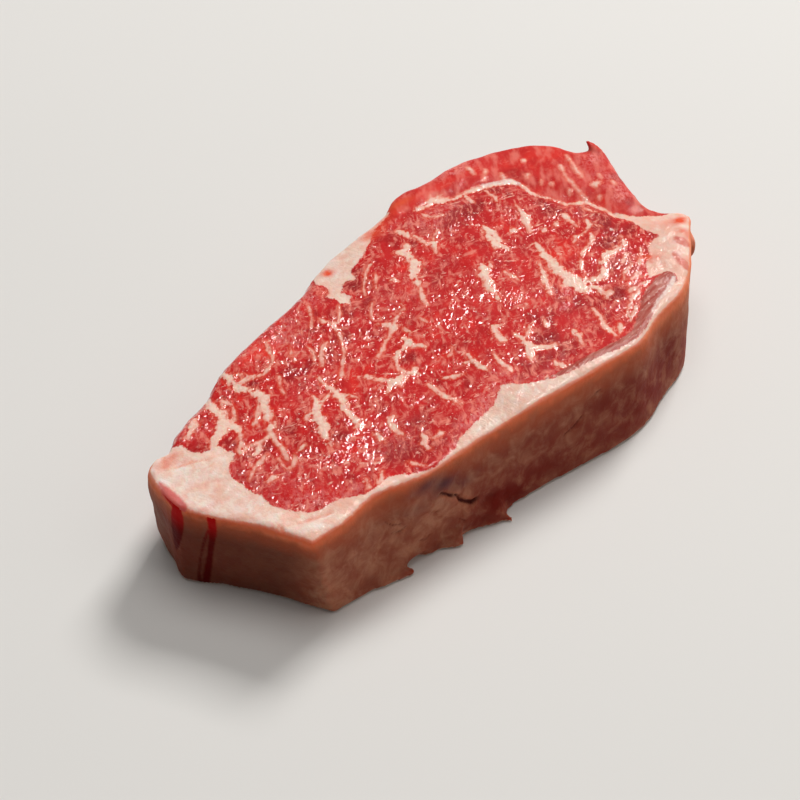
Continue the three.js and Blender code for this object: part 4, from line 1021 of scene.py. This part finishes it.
def make_flesh():
    mesh = remeshed_solid()
    skin = Skin(mesh)
    skin.melt_facets(FACET_SMOOTHING)
    normals = skin.normals()
    fields = anatomy(skin.points, normals)
    carve(skin, skin.soften(normals, NORMAL_ROUNDS), fields)
    mesh.vertices.foreach_set("co", (skin.points * MM).ravel())
    for name, values in fields.items():
        layer = mesh.attributes.new(name, "FLOAT", "POINT")
        layer.data.foreach_set("value", values.astype(np.float32))
    mesh.shade_smooth()
    mesh.materials.clear()
    mesh.materials.append(flesh_material())
    mesh.update()
    flesh = show("steak_flesh", mesh)
    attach(flesh, "root")
    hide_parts("steak")


# ---------------------------------------------------------------- floor, light and camera
FLOOR_HALF_M = 3.0
FLOOR_LIGHT, FLOOR_DARK = colour(226, 225, 223), colour(222, 221, 219)
FLOOR_ROUGHNESS = 0.8


def make_floor():
    bm = bmesh.new()
    half = FLOOR_HALF_M
    for x, y in ((-half, -half), (half, -half), (half, half), (-half, half)):
        bm.verts.new((x, y, 0.0))
    bm.faces.new(bm.verts)
    mesh = bpy.data.meshes.new("floor")
    bm.to_mesh(mesh)
    bm.free()
    n = Nodes("pale_floor")
    at = n.node("ShaderNodeTexCoord").outputs["Object"]
    cloud = n.node("ShaderNodeTexNoise")
    n.put(at, cloud.inputs["Vector"])
    cloud.inputs["Scale"].default_value = 3.0
    tint = n.mix(cloud.outputs[0], FLOOR_DARK, FLOOR_LIGHT)
    mesh.materials.append(n.surface({"Base Color": tint, "Roughness": FLOOR_ROUGHNESS}))
    floor = show("floor", mesh)


TARGET = (-18.875, -8.986, 15.0)
AZIMUTH, ELEVATION, DISTANCE = -40.92, 42.0, 537.26
LENS, SENSOR = 85.0, 36.0
# Square soft boxes aimed at the steak: name, azimuth, elevation, distance and size in metres, watts, tint.
LAMPS = [
    ("key", 112.0, 46.0, 2.6, 0.8, 50.0, (1.0, 0.98, 0.95)),
    ("overhead", 139.0, 84.0, 2.6, 1.6, 23.0, (1.0, 0.98, 0.95)),
    ("fill", 30.0, 45.0, 1.4, 0.9, 2.0, (1.0, 0.93, 0.86)),
]
WORLD_TINT, WORLD_STRENGTH = (1.0, 0.98, 0.96, 1.0), 0.108


def towards(azimuth, elevation):
    """Unit vector from the steak towards this azimuth (0 is in front, at -y) and elevation."""
    a, e = radians(azimuth), radians(elevation)
    return np.array([sin(a) * cos(e), -cos(a) * cos(e), sin(e)])


def make_camera():
    data = bpy.data.cameras.new("camera")
    data.lens = LENS
    data.sensor_width = SENSOR
    camera = show("camera", data)
    camera.location = (np.array(TARGET) + DISTANCE * towards(AZIMUTH, ELEVATION)) * MM
    camera.rotation_euler = (radians(90.0 - ELEVATION), 0.0, radians(AZIMUTH))
    bpy.context.scene.camera = camera


def soft_box(name, azimuth, elevation, distance_m, size_m, watts, tint):
    data = bpy.data.lights.new(name, "AREA")
    data.shape = "RECTANGLE"
    data.size = data.size_y = size_m
    data.energy = watts
    data.color = tint
    lamp = show(name, data)
    lamp.location = towards(azimuth, elevation) * distance_m
    lamp.rotation_euler = (radians(90.0 - elevation), 0.0, radians(azimuth))


def make_lights():
    for lamp in LAMPS:
        soft_box(*lamp)
    world = bpy.data.worlds.new("studio")
    bpy.context.scene.world = world
    world.use_nodes = True
    background = world.node_tree.nodes["Background"]
    background.inputs["Color"].default_value = WORLD_TINT
    background.inputs["Strength"].default_value = WORLD_STRENGTH
    bpy.context.scene.view_settings.view_transform = "Standard"


make_flesh()
make_floor()
make_camera()
make_lights()
